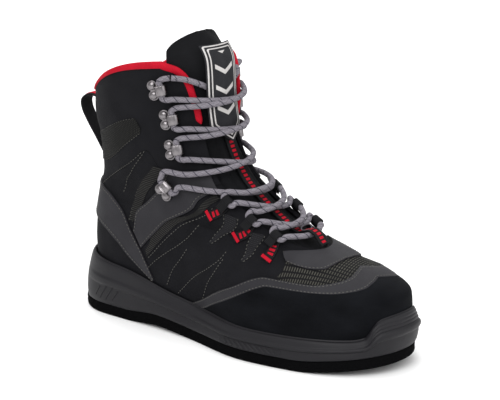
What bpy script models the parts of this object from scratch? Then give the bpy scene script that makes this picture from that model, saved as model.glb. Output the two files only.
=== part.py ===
"""Wading boot, right foot: felt sole, rubber cup midsole and a hollow laced upper on one last.

Metres. Toe at +X, lateral side at -Y, medial side at +Y, +Z up.
The origin is on the floor under the middle of the heel seat.
"""

import math
from collections import namedtuple

import bmesh
import bpy
import numpy as np
from mathutils import Matrix, Vector

# Sizes that the shape is worked out from
LAST_LENGTH = 0.300
BALL_HALF = 0.054
COLLAR_FRONT = 0.222
COLLAR_BACK = 0.177
SEAT_HEIGHT = 0.027
HEEL_CENTRE = 0.045
UPPER_WALL = 0.0028
OVERLAY_WALL = 0.0012
GAP = 0.0003
CUP_GAP = 0.0011
OVERLAY_GAP = 0.0009
OVERLAY_CLEAR = 0.0015
FELT_THICKNESS = 0.0095
CUP_LIP = 0.0022
INSOLE_THICKNESS = 0.004
INSOLE_FIT = 0.0014
TONGUE_WALL = 0.006
LACE_RADIUS = 0.0023

# Rounding of the plan at heel and toe
SEAT_ROUND = 0.046
NOSE_ROUND = 0.066
ROUND_POWER = 2.2
TOE_SWING = 0.009
MEDIAL_WAIST = 0.88

SIDE_COLUMNS = 24
LATERAL, MEDIAL = -1, 1
SIDE_NAMES = {LATERAL: "lateral", MEDIAL: "medial"}

# One row for each level of the last, feather edge to collar, and one above it for the tongue.
# x in last lengths, front z in COLLAR_FRONT, back z in COLLAR_BACK, half-widths in BALL_HALF,
# and how early the ring rises from its back height to its front height.
Ring = namedtuple("Ring", "front_x front_z back_x back_z heel waist ball toe rise")
RINGS = (
    Ring(0.990, 0.117, 0.022, 0.153, 0.70, 0.70, 0.94, 0.80, 1.0),
    Ring(1.003, 0.182, 0.014, 0.254, 0.76, 0.75, 1.00, 0.87, 1.0),
    Ring(1.000, 0.255, 0.012, 0.350, 0.78, 0.76, 0.98, 0.86, 1.0),
    Ring(0.965, 0.290, 0.014, 0.435, 0.77, 0.76, 0.85, 0.78, 1.0),
    Ring(0.888, 0.332, 0.020, 0.508, 0.76, 0.75, 0.74, 0.64, 1.0),
    Ring(0.785, 0.373, 0.027, 0.576, 0.74, 0.74, 0.67, 0.61, 1.0),
    Ring(0.702, 0.420, 0.032, 0.644, 0.71, 0.75, 0.63, 0.64, 1.0),
    Ring(0.605, 0.493, 0.036, 0.712, 0.70, 0.77, 0.64, 0.66, 1.2),
    Ring(0.510, 0.593, 0.036, 0.780, 0.71, 0.80, 0.69, 0.65, 1.6),
    Ring(0.455, 0.730, 0.030, 0.862, 0.73, 0.83, 0.77, 0.69, 2.3),
    Ring(0.436, 0.860, 0.022, 0.945, 0.75, 0.86, 0.81, 0.73, 2.9),
    Ring(0.428, 1.000, 0.018, 1.030, 0.77, 0.88, 0.84, 0.76, 3.2),
    Ring(0.365, 1.113, 0.012, 1.205, 0.78, 0.88, 0.84, 0.76, 3.2),
)
COLLAR_RING = 11
RISE_EASE = 0.13
RING_LEVELS = np.arange(len(RINGS)) / COLLAR_RING
RING_TABLE = np.array(RINGS)

# Where the four half-widths of a ring lie, as shares of the ring's length
STATIONS = {
    LATERAL: (0.0, 0.12, 0.42, 0.64, 0.88, 1.0),
    MEDIAL: (0.0, 0.12, 0.42, 0.70, 0.88, 1.0),
}

# Height of the foot's bed along the last: x in last lengths, z in SEAT_HEIGHT
FOOTBED = (
    (-0.05, 1.00), (0.20, 0.97), (0.37, 0.86), (0.50, 0.72),
    (0.67, 0.64), (0.80, 0.67), (0.92, 0.80), (1.05, 0.97),
)
BED_FADE = 0.4

# Top edge of the midsole cup along the last: x in last lengths, z in SEAT_HEIGHT
CUP_TOP = (
    (-0.05, 1.88), (0.05, 1.83), (0.20, 1.66), (0.37, 1.22), (0.50, 1.02),
    (0.67, 0.98), (0.85, 1.04), (0.94, 1.06), (0.955, 1.10), (0.985, 1.70), (1.05, 1.86),
)

# Underside of the felt along the last: x in last lengths, z in FELT_THICKNESS
FELT_UNDER = (
    (-0.04, 0.30), (0.03, 0.0), (0.19, 0.0), (0.31, 0.32), (0.47, 0.0),
    (0.79, 0.0), (0.90, 0.35), (1.04, 1.00),
)

# Plan outline of the sole: same columns as a ring's, without heights
Outline = namedtuple("Outline", "front_x back_x heel waist ball toe")
SOLE = Outline(1.014, -0.027, 0.805, 0.86, 1.093, 0.944)

# Outer wall of the midsole, top edge to felt: share of the way down, of the flare, and bulge
WallRow = namedtuple("WallRow", "down flare bulge")
CUP_WALL = (
    WallRow(0.00, 0.00, 0.0000),
    WallRow(0.10, 0.20, 0.0006),
    WallRow(0.34, 0.45, 0.0016),
    WallRow(0.40, 0.52, 0.0028),
    WallRow(0.50, 0.62, 0.0028),
    WallRow(0.56, 0.68, 0.0014),
    WallRow(0.86, 0.95, 0.0018),
    WallRow(1.00, 1.00, 0.0004),
)

# Ribs on the midsole's wall: |w| of the first and last, how many, share of the way down where
# they start and end, how far each leans in w, and how much shorter the end ones are
RibGroup = namedtuple("RibGroup", "first last count top bottom lean taper")
RIB_GROUPS = (
    RibGroup(0.555, 0.665, 9, 0.62, 0.90, 0.014, 0.55),
    RibGroup(0.215, 0.285, 5, 0.60, 0.86, -0.012, 0.3),
)
RIB_RADIUS = 0.0008

# Half-width of the throat: level on the last, half-gap in BALL_HALF
THROAT = (
    (0.475, 0.0), (0.485, 0.20), (0.50, 0.31), (0.53, 0.39), (0.60, 0.43), (0.70, 0.42),
    (0.80, 0.39), (0.88, 0.41), (0.93, 0.46), (0.96, 0.51), (0.985, 0.60), (1.00, 0.72), (1.10, 0.80),
)
UPPER_ROWS = (
    0.0, 0.09, 0.18, 0.27, 0.36, 0.43, 0.475, 0.485, 0.50, 0.53,
    0.59, 0.67, 0.75, 0.83, 0.91, 0.96, 0.985, 1.0,
)

# Overlays, symmetric about the middle: |w|, then lower and upper edge as ring numbers
Band = namedtuple("Band", "w low high")
TOE_CAP = (
    Band(0.500, 0.20, 0.80), Band(0.525, 0.20, 1.13), Band(0.565, 0.20, 1.66),
    Band(0.64, 0.20, 2.57), Band(0.69, 0.20, 2.65), Band(0.755, 0.20, 2.71),
    Band(0.80, 0.20, 2.77), Band(0.84, 0.20, 2.89), Band(0.90, 0.20, 3.11),
    Band(0.94, 0.20, 3.31), Band(1.00, 0.20, 3.54),
)
TOE_TRIM = (
    Band(0.455, 0.20, 0.50), Band(0.475, 0.45, 0.85), Band(0.51, 1.02, 1.42),
    Band(0.565, 1.72, 2.18), Band(0.64, 2.62, 3.12), Band(0.69, 2.70, 3.12),
    Band(0.755, 2.76, 3.14), Band(0.80, 2.82, 3.32), Band(0.84, 2.94, 3.48),
    Band(0.90, 3.16, 3.76), Band(0.94, 3.36, 3.96), Band(1.00, 3.59, 4.17),
)
VAMP_PATCH = (
    Band(0.735, 4.28, 4.34), Band(0.755, 4.14, 4.60), Band(0.785, 4.06, 4.98),
    Band(0.83, 4.12, 5.06), Band(0.88, 4.32, 5.10), Band(0.94, 4.50, 5.12), Band(1.00, 4.58, 5.12),
)

# Straps: two edges as matching rows of |w| and ring number
Edges = namedtuple("Edges", "w_low low w_high high")
HEEL_STRAP = (
    Edges(0.00, 3.70, 0.00, 5.85), Edges(0.12, 3.48, 0.13, 5.75), Edges(0.21, 3.05, 0.24, 5.55),
    Edges(0.26, 2.40, 0.295, 4.70), Edges(0.29, 1.80, 0.308, 3.45), Edges(0.33, 1.20, 0.335, 2.00),
    Edges(0.352, 0.85, 0.356, 0.95),
)
ANKLE_STRAP = (
    Edges(0.340, 2.50, 0.326, 3.50), Edges(0.365, 3.40, 0.36, 4.90), Edges(0.455, 5.10, 0.425, 6.25),
    Edges(0.56, 6.30, 0.51, 7.20), Edges(0.640, 7.00, 0.575, 7.85),
)

# Lace rows, top to bottom: |w| and ring number of the lace, turn of the fitting towards the
# collar, how far it is lifted off the upper, and the lace's height over the throat below it
LaceRow = namedtuple("LaceRow", "kind number w level turn lift middle")
LACE_ROWS = (
    LaceRow("hook", 1, 0.660, 10.35, 8.0, 0.0, 0.0072),
    LaceRow("hook", 2, 0.695, 9.55, 8.0, 0.0002, 0.0072),
    LaceRow("hook", 3, 0.685, 8.72, 8.0, 0.0009, 0.0046),
    LaceRow("hook", 4, 0.560, 7.45, 55.0, 0.0038, 0.0048),
    LaceRow("lace_loop", 1, 0.765, 7.15, 50.0, 0.0002, 0.0040),
    LaceRow("lace_loop", 2, 0.790, 6.45, 50.0, 0.0001, 0.0040),
    LaceRow("lace_loop", 3, 0.815, 5.75, 50.0, 0.0, 0.0040),
)
# One half of the lace passes this much over the other at each crossing
LACE_WEAVE = 0.0008
# Free end from the top hook: |w|, ring number and height over the last
LACE_END = (
    (0.755, 10.62, 0.0040), (0.79, 10.57, 0.0038), (0.815, 10.52, 0.0032), (0.84, 10.46, 0.0014),
    (0.865, 10.40, -0.0007), (0.90, 10.30, -0.0007), (0.93, 10.20, -0.0007),
)
# The lace round one fitting: towards the throat, and up
LACE_TURN = ((0.0080, 0.0078), (0.0026, 0.0072), (0.0008, 0.0050), (0.0008, -0.0050), (0.0026, -0.0072), (0.0080, -0.0078))

HOOK_HALF = 0.0044
HOOK_METAL = 0.0009
HOOK_BEND = 0.0032
WEBBING = 0.0013
# Height of the middle of each fitting's base strip over the upper
BASE_HEIGHT = {"hook": 0.00095, "lace_loop": 0.00125}
LOOP_HALF = 0.0036
LOOP_LENGTH = 0.0175
BINDING_RADIUS = 0.0017
BINDING_FOOT = 0.855

# Tongue: level on the last and half-width in BALL_HALF
TONGUE = (
    (0.455, 0.22), (0.47, 0.30), (0.50, 0.46), (0.60, 0.55), (0.72, 0.56), (0.85, 0.60),
    (0.95, 0.67), (1.00, 0.69), (1.035, 0.64), (1.062, 0.53), (1.077, 0.38),
)
TONGUE_ROWS = (0.455, 0.475, 0.50, 0.54, 0.60, 0.67, 0.74, 0.81, 0.88, 0.94, 1.0, 1.035, 1.062, 1.077)

LABEL_HALF = 0.0175
LABEL_LEVELS = (0.835, 1.045)
LABEL_LIFT = 0.0058
LABEL_THICKNESS = 0.0009
STRIP_HALF = 0.0055
# Strip down the tongue: level, and height of its underside over the tongue
STRIP = (
    (0.478, 0.0060), (0.490, 0.0072), (0.502, 0.0092), (0.514, 0.0104), (0.530, 0.0104),
    (0.545, 0.0070), (0.560, 0.0022), (0.585, 0.0009), (0.66, 0.0009), (0.74, 0.0009), (0.82, 0.0009),
)
PULL_LOOP_HALF = 0.0085
PULL_LOOP_METAL = 0.0018
# Pull loop in the plane of symmetry: out from the back of the shaft, and height
PULL_LOOP = (
    (0.0014, 0.1790), (0.0014, 0.1710), (0.0090, 0.1735), (0.0180, 0.1735), (0.0240, 0.1680),
    (0.0245, 0.1600), (0.0205, 0.1510), (0.0140, 0.1400), (0.0078, 0.1300), (0.0034, 0.1235), (0.0016, 0.1190),
    (0.0016, 0.1140),
)


def smooth(stations, values, at):
    """Cubic curve through the values that never overshoots them, read at each place."""
    stations = np.asarray(stations, float)
    values = np.asarray(values, float)
    at = np.asarray(at, float)
    if values.ndim == 1:
        values = np.repeat(values[:, None], at.size, axis=1)
    step = np.diff(stations)[:, None]
    rise = np.diff(values, axis=0) / step
    slope = np.zeros_like(values)
    slope[0] = rise[0]
    slope[-1] = rise[-1]
    same = rise[:-1] * rise[1:] > 0
    both = np.where(same, rise[:-1] + rise[1:], 1.0)
    slope[1:-1] = np.where(same, 2 * rise[:-1] * rise[1:] / both, 0.0)
    cell = np.clip(np.searchsorted(stations, at, side="right") - 1, 0, len(stations) - 2)
    which = np.arange(at.size)
    width = step[cell, 0]
    t = np.clip((at - stations[cell]) / width, 0.0, 1.0)
    start = values[cell, which]
    end = values[cell + 1, which]
    start_slope = slope[cell, which] * width
    end_slope = slope[cell + 1, which] * width
    return (
        start * (2 * t**3 - 3 * t**2 + 1)
        + start_slope * (t**3 - 2 * t**2 + t)
        + end * (3 * t**2 - 2 * t**3)
        + end_slope * (t**3 - t**2)
    )


def along(table, x):
    """Height from a table whose rows are a share of the last's length and a share of a size."""
    stations, values = zip(*table)
    return smooth(stations, values, np.ravel(x) / LAST_LENGTH).reshape(np.shape(x))


def footbed(x):
    return SEAT_HEIGHT * along(FOOTBED, x)


def felt_under(x):
    return FELT_THICKNESS * along(FELT_UNDER, x)


def cup_top(x):
    return SEAT_HEIGHT * along(CUP_TOP, x)


def plan(w, front, back, widths):
    """x, y and share of the length on a closed outline. w runs -1 (front, lateral) to 0 (back) to 1."""
    q = (1 - np.cos(math.pi * np.abs(w))) / 2
    x = back + (front - back) * q
    half = np.zeros_like(q)
    for side, stations in STATIONS.items():
        heel, waist, ball, toe = widths
        if side == MEDIAL:
            waist = waist * MEDIAL_WAIST
        rows = np.array([heel, heel, waist, ball, toe, toe * 0.94])
        on_side = smooth(stations, rows, q)
        half = np.where(np.sign(w) == side, on_side, half)
    for distance, length in ((x - back, SEAT_ROUND), (front - x, NOSE_ROUND)):
        inside = 1 - np.clip(distance / length, 0.0, 1.0)
        half = half * (1 - inside**ROUND_POWER) ** (1 / ROUND_POWER)
    y = np.sign(w) * half + TOE_SWING * np.clip(x / LAST_LENGTH, 0, 1.1) ** 2.5
    return x, y, q


def last_points(w, v):
    """Points of the last's surface, x still measured from the back of the heel."""
    w = (w + 1) % 2 - 1
    columns = Ring(*(smooth(RING_LEVELS, RING_TABLE[:, k], v) for k in range(len(Ring._fields))))
    front = columns.front_x * LAST_LENGTH
    back = columns.back_x * LAST_LENGTH
    widths = [BALL_HALF * half for half in (columns.heel, columns.waist, columns.ball, columns.toe)]
    x, y, q = plan(w, front, back, widths)
    front_z = columns.front_z * COLLAR_FRONT
    back_z = columns.back_z * COLLAR_BACK
    climb = (1 - (1 - q) ** columns.rise) ** (1 + RISE_EASE * (columns.rise - 1))
    z = back_z + (front_z - back_z) * climb
    fade = np.clip(1 - v / BED_FADE, 0.0, 1.0)
    fade = fade * fade * (3 - 2 * fade)
    bed_line = footbed(back) + (footbed(front) - footbed(back)) * q
    z = z + fade * (footbed(x) - bed_line)
    return np.stack([x, y, z], axis=-1)


def at(w, v, offset=0.0):
    """Points at a distance outside the last's surface, in the boot's frame."""
    w, v = np.broadcast_arrays(np.asarray(w, float), np.asarray(v, float))
    shape = w.shape
    w, v = w.ravel(), v.ravel()
    points = last_points(w, v)
    step = 0.002
    ahead = last_points(w + step, v) - last_points(w - step, v)
    top = RING_LEVELS[-1]
    above = last_points(w, np.clip(v + step, 0, top)) - last_points(w, np.clip(v - step, 0, top))
    normal = np.cross(above, ahead)
    normal /= np.linalg.norm(normal, axis=1, keepdims=True)
    points = points + normal * np.broadcast_to(offset, shape).reshape(-1, 1)
    points[:, 0] -= HEEL_CENTRE
    return points.reshape(shape + (3,))


def bisect(low, high, above, steps=40):
    """Where above() turns true between low and high, for each column."""
    for _ in range(steps):
        middle = (low + high) / 2
        past = above(middle)
        high = np.where(past, middle, high)
        low = np.where(past, low, middle)
    return (low + high) / 2


def level_at(w, height):
    """The level on the last where it reaches height(x)."""
    w = np.asarray(w, float)

    def above(v):
        points = last_points(w, v)
        return points[:, 2] > height(points[:, 0])

    return bisect(np.zeros_like(w), np.full_like(w, 0.6), above)


def throat_edge(v):
    """w of the throat's edge at each level, lateral and medial, as positive numbers."""
    v = np.asarray(v, float)
    stations, gaps = zip(*THROAT)
    gap = BALL_HALF * smooth(stations, gaps, v)
    edges = []
    for side in (LATERAL, MEDIAL):

        def inside(w):
            points = last_points(side * w, v)
            centre = last_points(np.ones_like(w), v)
            return side * (points[:, 1] - centre[:, 1]) < gap

        found = bisect(np.full_like(v, 0.45), np.ones_like(v), inside)
        edges.append(np.where(v <= THROAT[0][0], 1.0, found))
    return edges


def columns_of(count=SIDE_COLUMNS):
    return np.arange(-count, count + 1) / count


def new_object(name, mesh, collection):
    made = bpy.data.objects.new(name, mesh)
    collection.objects.link(made)
    return made


def finish(obj, material):
    obj.data.materials.clear()
    obj.data.materials.append(material)
    obj.data.shade_smooth()
    return obj


def sheet(name, points, collection, seam=None):
    """An open surface from a grid of points. seam marks the rows whose ends are one point.

    Its columns run towards the toe on the lateral side, so that the faces point out.
    """
    rows, count = points.shape[:2]
    index = np.arange(rows * count).reshape(rows, count)
    if seam is not None:
        index[seam, -1] = index[seam, 0]
    faces = []
    for r in range(rows - 1):
        for c in range(count - 1):
            corners = [index[r, c], index[r, c + 1], index[r + 1, c + 1], index[r + 1, c]]
            face = list(dict.fromkeys(int(i) for i in corners))
            if len(face) > 2:
                faces.append(face)
    mesh = bpy.data.meshes.new(name)
    mesh.from_pydata(points.reshape(-1, 3).tolist(), [], faces)
    work = bmesh.new()
    work.from_mesh(mesh)
    loose = [vertex for vertex in work.verts if not vertex.link_faces]
    bmesh.ops.delete(work, geom=loose, context="VERTS")
    bmesh.ops.remove_doubles(work, verts=work.verts, dist=0.00002)
    work.to_mesh(mesh)
    work.free()
    return new_object(name, mesh, collection)


def thicken(obj, thickness, outward):
    """Solidify an open surface whose faces point out of the boot."""
    solid = obj.modifiers.new("wall", "SOLIDIFY")
    solid.thickness = thickness
    solid.offset = 1.0 if outward else -1.0
    solid.use_even_offset = True
    solid.use_rim = True
    return obj


def loft(name, loops, collection):
    """A closed body from loops of equal count that run round the boot from the toe.

    The first and last loops are closed by strips straight across the foot.
    """
    loops = np.asarray(loops)
    rows, count = loops.shape[:2]
    faces = []
    for r in range(rows - 1):
        for c in range(count):
            n = (c + 1) % count
            faces.append([r * count + c, r * count + n, (r + 1) * count + n, (r + 1) * count + c])
    for base, forward in ((0, True), ((rows - 1) * count, False)):
        for c in range(count // 2):
            corners = [c, c + 1, count - c - 1, count - c]
            face = list(dict.fromkeys(base + i % count for i in corners))
            if len(face) > 2:
                faces.append(face[::-1] if forward else face)
    mesh = bpy.data.meshes.new(name)
    mesh.from_pydata(loops.reshape(-1, 3).tolist(), [], faces)
    work = bmesh.new()
    work.from_mesh(mesh)
    bmesh.ops.recalc_face_normals(work, faces=work.faces)
    work.to_mesh(mesh)
    work.free()
    return new_object(name, mesh, collection)


def sole_outline(w, inset=0.0):
    """Plan points of the sole's edge, x from the back of the heel."""
    widths = [BALL_HALF * share - inset for share in (SOLE.heel, SOLE.waist, SOLE.ball, SOLE.toe)]
    front = SOLE.front_x * LAST_LENGTH - inset
    back = SOLE.back_x * LAST_LENGTH + inset
    x, y, _ = plan((w + 1) % 2 - 1, front, back, widths)
    return x, y


def sole_loop(w, height, inset=0.0):
    """A loop round the sole's edge whose height follows the full outline's x."""
    x, y = sole_outline(w, inset)
    return np.stack([x - HEEL_CENTRE, y, height(x)], axis=-1)


def make_felt(collection):
    w = columns_of()[:-1]
    edge = 0.0008
    loops = [
        sole_loop(w, felt_under, edge),
        sole_loop(w, lambda x: felt_under(x) + edge),
        sole_loop(w, lambda x: felt_under(x) + FELT_THICKNESS - edge),
        sole_loop(w, lambda x: felt_under(x) + FELT_THICKNESS, edge),
    ]
    return loft("outsole_felt", loops, collection)


def cup_wall(w, down, flare, bulge):
    """Points on the midsole's outer wall."""
    lip = at(w, level_at(w, cup_top), CUP_GAP + CUP_LIP)
    foot = sole_loop(w, lambda x: felt_under(x) + FELT_THICKNESS + GAP, 0.0006)
    step = 0.004
    ahead = np.stack(sole_outline(w + step), axis=-1) - np.stack(sole_outline(w - step), axis=-1)
    outward = np.stack([ahead[:, 1], -ahead[:, 0]], axis=-1)
    outward /= np.linalg.norm(outward, axis=1, keepdims=True)
    points = lip + (foot - lip) * np.stack([flare, flare, down], axis=-1)
    points[:, :2] -= outward * np.asarray(bulge).reshape(-1, 1)
    return points


def wall_ribs(collection):
    """Slanting ribs on the midsole's wall, one mesh of separate bars that stand half proud of it."""
    stations, flares, bulges = zip(*CUP_WALL)
    bars = []
    for group in RIB_GROUPS:
        for number in range(group.count):
            share = number / (group.count - 1)
            start = group.first + (group.last - group.first) * share
            shrink = 1 - group.taper * abs(2 * share - 1)
            half = (group.bottom - group.top) / 2 * shrink
            middle = (group.bottom + group.top) / 2
            for side in (LATERAL, MEDIAL):
                down = middle + np.linspace(-half, half, 3)
                w = side * (start + group.lean * np.linspace(-0.5, 0.5, 3) * shrink)
                flare = np.interp(down, stations, flares)
                bulge = np.interp(down, stations, bulges) + 0.0001
                bars.append(tube("rib", cup_wall(w, down, flare, bulge), RIB_RADIUS, collection, 0))
    first = bars[0]
    work = bmesh.new()
    for bar in bars:
        work.from_mesh(bar.data)
    work.to_mesh(first.data)
    work.free()
    for bar in bars[1:]:
        bpy.data.objects.remove(bar, do_unlink=True)
    return first


def make_midsole(collection):
    w = columns_of()[:-1]
    top = level_at(w, cup_top)
    floor = at(w, 0.0, CUP_GAP)
    floor[:, 2] = footbed(floor[:, 0] + HEEL_CENTRE) - GAP
    loops = [floor]
    for share in (0.0, 0.3, 0.55, 0.8, 1.0):
        loops.append(at(w, 0.004 + (top - 0.004) * share, CUP_GAP))
    for row in CUP_WALL:
        full = np.ones_like(w)
        loops.append(cup_wall(w, row.down * full, row.flare * full, row.bulge * full))
    return apply_union(loft("midsole", loops, collection), [wall_ribs(collection)])


def make_insole(collection):
    w = columns_of()[:-1]
    inner = -(UPPER_WALL + INSOLE_FIT)
    low = at(w, 0.012, inner)
    low[:, 2] = footbed(low[:, 0] + HEEL_CENTRE)
    high = at(w, level_at(w, lambda x: footbed(x) + INSOLE_THICKNESS), inner - 0.0002)
    return loft("insole", [low, high], collection)


def make_upper(collection):
    v = np.array(UPPER_ROWS)
    lateral, medial = throat_edge(v)
    shares = columns_of()
    edges = np.where(shares[None, :] < 0, lateral[:, None], medial[:, None])
    w = (shares[None, :] * edges)[:, ::-1]
    seam = v <= THROAT[0][0]
    obj = sheet("upper", at(w, v[:, None]), collection, seam)
    return thicken(obj, UPPER_WALL, outward=False)


def w_at_half(levels, halves, side):
    """|w| in front where the last is a given half-width wide, at each level."""
    levels = np.asarray(levels, float)
    halves = np.asarray(halves, float)

    def inside(w):
        points = last_points(side * w, levels)
        centre = last_points(np.ones_like(w), levels)
        return side * (points[:, 1] - centre[:, 1]) < halves

    return bisect(np.full_like(levels, 0.4), np.ones_like(levels), inside)


def front_grid(levels, halves, count):
    """w of a grid across the front, from the lateral side to the medial side."""
    columns = []
    for share in np.linspace(-1, 1, count):
        side = MEDIAL if share > 0 else LATERAL
        found = side * w_at_half(levels, abs(share) * halves, side)
        columns.append(np.ones_like(found) if share == 0 else found)
    return np.stack(columns, axis=1)


def make_tongue(collection):
    v = np.array(TONGUE_ROWS)
    stations, halves = zip(*TONGUE)
    w = front_grid(v, BALL_HALF * smooth(stations, halves, v), 15)
    obj = sheet("tongue", tongue_face(w, v[:, None], 0.0), collection)
    return thicken(obj, TONGUE_WALL, outward=False)


def tongue_face(w, v, lift):
    return at(w, v, lift - UPPER_WALL - OVERLAY_GAP)


def make_label(collection):
    v = np.linspace(*LABEL_LEVELS, 8)
    w = front_grid(v, np.full_like(v, LABEL_HALF), 9)
    obj = sheet("tongue_label", tongue_face(w, v[:, None], LABEL_LIFT), collection)
    return thicken(obj, LABEL_THICKNESS, outward=True)


def make_strip(collection):
    v, lift = (np.array(column) for column in zip(*STRIP))
    w = front_grid(v, np.full_like(v, STRIP_HALF), 3)
    obj = sheet("tongue_strip", tongue_face(w, v[:, None], lift[:, None]), collection)
    return thicken(obj, WEBBING, outward=True)


def resample(table, step):
    """Rows of a table with more rows put in, so that no gap in its first column is over step."""
    rows = np.array(table, float)
    out = [rows[0]]
    for row in rows[1:]:
        parts = max(1, math.ceil(np.abs(row - out[-1])[0] / step - 1e-9))
        start = out[-1]
        out.extend(start + (row - start) * (i + 1) / parts for i in range(parts))
    return np.array(out)


def above_cup(w, v):
    """Levels kept clear of the top edge of the midsole."""
    return np.maximum(v, level_at(w, lambda x: cup_top(x) + OVERLAY_CLEAR))


def overlay(name, w, v, collection, thickness=OVERLAY_WALL):
    shape = w.shape
    v = above_cup(w.ravel(), v.ravel()).reshape(shape)
    obj = sheet(name, at(w, v, OVERLAY_GAP), collection)
    return thicken(obj, thickness, outward=True)


def make_band(name, table, rows, collection, step=0.04, thickness=OVERLAY_WALL):
    """A band across the front, from the lateral side round the toe to the medial side."""
    half = resample(table, step)
    low = np.concatenate([half[:, 1], half[-2::-1, 1]]) / COLLAR_RING
    high = np.concatenate([half[:, 2], half[-2::-1, 2]]) / COLLAR_RING
    w = np.concatenate([-half[:, 0], half[-2::-1, 0]])
    shares = np.linspace(0, 1, rows)[:, None]
    v = low + (high - low) * shares
    return overlay(name, np.repeat(w[None], rows, axis=0), v, collection, thickness)


def strap_grid(table, rows, side, step):
    table = resample(table, step)
    shares = np.linspace(0, 1, rows)[:, None]
    w = table[:, 0] + (table[:, 2] - table[:, 0]) * shares
    v = (table[:, 1] + (table[:, 3] - table[:, 1]) * shares) / COLLAR_RING
    return side * w, v


def make_heel_strap(collection):
    w, v = strap_grid(HEEL_STRAP, 4, LATERAL, 0.045)
    w = np.concatenate([-w[:, ::-1], w[:, 1:]], axis=1)
    v = np.concatenate([v[:, ::-1], v[:, 1:]], axis=1)
    return overlay("heel_strap", w, v, collection)


def make_ankle_strap(side, collection):
    w, v = strap_grid(ANKLE_STRAP, 3, side, 0.04)
    if side == MEDIAL:
        w, v = w[:, ::-1], v[:, ::-1]
    return overlay("ankle_strap_" + SIDE_NAMES[side], w, v, collection)


def poly_curve(name, paths, collection):
    curve = bpy.data.curves.new(name, "CURVE")
    curve.dimensions = "3D"
    for path in paths:
        spline = curve.splines.new("POLY")
        spline.points.add(len(path) - 1)
        for point, place in zip(spline.points, path):
            point.co = (*place, 1.0)
    return new_object(name, curve, collection)


def as_mesh(obj, name, collection):
    """The curve's evaluated mesh as an object of its own."""
    bpy.context.view_layer.update()
    graph = bpy.context.evaluated_depsgraph_get()
    mesh = bpy.data.meshes.new_from_object(obj.evaluated_get(graph))
    place = obj.matrix_world.copy()
    bpy.data.objects.remove(obj, do_unlink=True)
    mesh.name = name
    work = bmesh.new()
    work.from_mesh(mesh)
    bmesh.ops.remove_doubles(work, verts=work.verts, dist=0.00002)
    bmesh.ops.recalc_face_normals(work, faces=work.faces)
    work.to_mesh(mesh)
    work.free()
    made = new_object(name, mesh, collection)
    made.matrix_world = place
    return made


def tube(name, path, radius, collection, resolution=2):
    obj = poly_curve(name + "_path", [path], collection)
    obj.data.bevel_depth = radius
    obj.data.bevel_resolution = resolution
    obj.data.use_fill_caps = True
    return as_mesh(obj, name, collection)


def make_binding(collection):
    """A roll that follows the throat's edges from the third hook up and round the collar."""
    heights = np.array([BINDING_FOOT, 0.88, 0.91, 0.94, 0.96, 0.985, 1.0])
    lateral, medial = throat_edge(heights)
    across = columns_of(SIDE_COLUMNS // 2)[1:-1]
    reach = np.where(across < 0, lateral[-1], medial[-1])
    w = np.concatenate([-lateral, across * reach, medial[::-1]])
    v = np.concatenate([heights, np.ones_like(across), heights[::-1]])
    middle = -UPPER_WALL / 2
    edge = at(w, v, middle)
    normal = at(w, v, middle + 0.001) - edge
    along_edge = np.gradient(edge, axis=0)
    outward = np.cross(normal, along_edge)
    outward /= np.linalg.norm(outward, axis=1, keepdims=True)
    inside = at(w * 0.97, v - 0.01, middle)
    outward *= np.sign(np.sum(outward * (edge - inside), axis=1, keepdims=True))
    lift = normal / np.linalg.norm(normal, axis=1, keepdims=True) * 0.0002
    path = edge + outward * (BINDING_RADIUS + CUP_GAP) + lift
    return tube("collar_binding", path, BINDING_RADIUS, collection)


def seat(side, w, level, turn=0.0, lift=0.0):
    """Matrix of a fitting on the upper: X towards the throat, Z out of the upper."""
    v = level / COLLAR_RING
    place, out, ahead = at([side * w] * 2 + [side * (w + 0.01)], v, [0.0, 0.001, 0.0])
    normal = Vector(out - place).normalized()
    forward = Vector(ahead - place)
    forward = (forward - normal * forward.dot(normal)).normalized()
    forward = Matrix.Rotation(math.radians(turn) * -side, 3, normal) @ forward
    across = normal.cross(forward)
    matrix = Matrix((forward, across, normal)).transposed().to_4x4()
    matrix.translation = Vector(place) + normal * lift
    return matrix


def band_outline(path, thickness):
    """Closed outline of a flat strip whose middle follows the path."""
    path = np.asarray(path, float)
    ahead = np.diff(path, axis=0)
    ahead /= np.linalg.norm(ahead, axis=1, keepdims=True)
    normals = np.stack([-ahead[:, 1], ahead[:, 0]], axis=-1)
    joined = np.concatenate([normals[:1], normals[:-1] + normals[1:], normals[-1:]])
    joined /= np.linalg.norm(joined, axis=1, keepdims=True)
    each = np.concatenate([normals[:1], normals])
    mitre = np.clip(np.sum(joined * each, axis=1, keepdims=True), 0.5, 1.0)
    joined = joined / mitre * thickness / 2
    return np.concatenate([path + joined, (path - joined)[::-1]])


def arc(centre, radius, start, end, steps):
    angles = np.radians(np.linspace(start, end, steps + 1))
    return [(centre[0] + radius * math.cos(a), centre[1] + radius * math.sin(a)) for a in angles]


def extruded(name, outline, half_width, collection):
    """A flat outline in the XZ plane, extruded both ways along Y."""
    curve = bpy.data.curves.new(name, "CURVE")
    curve.dimensions = "2D"
    curve.fill_mode = "BOTH"
    curve.extrude = half_width
    spline = curve.splines.new("POLY")
    spline.points.add(len(outline) - 1)
    for point, place in zip(spline.points, outline):
        point.co = (place[0], place[1], 0.0, 1.0)
    spline.use_cyclic_u = True
    made = as_mesh(new_object(name, curve, collection), name, collection)
    made.data.transform(Matrix.Rotation(math.pi / 2, 4, "X"))
    return made


def apply_union(obj, others):
    """Join the other objects into one body with this one."""
    for other in others:
        join = obj.modifiers.new("join", "BOOLEAN")
        join.operation = "UNION"
        join.object = other
    bpy.context.view_layer.update()
    graph = bpy.context.evaluated_depsgraph_get()
    mesh = bpy.data.meshes.new_from_object(obj.evaluated_get(graph))
    obj.modifiers.clear()
    obj.data = mesh
    for other in others:
        bpy.data.objects.remove(other, do_unlink=True)
    return obj


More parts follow.
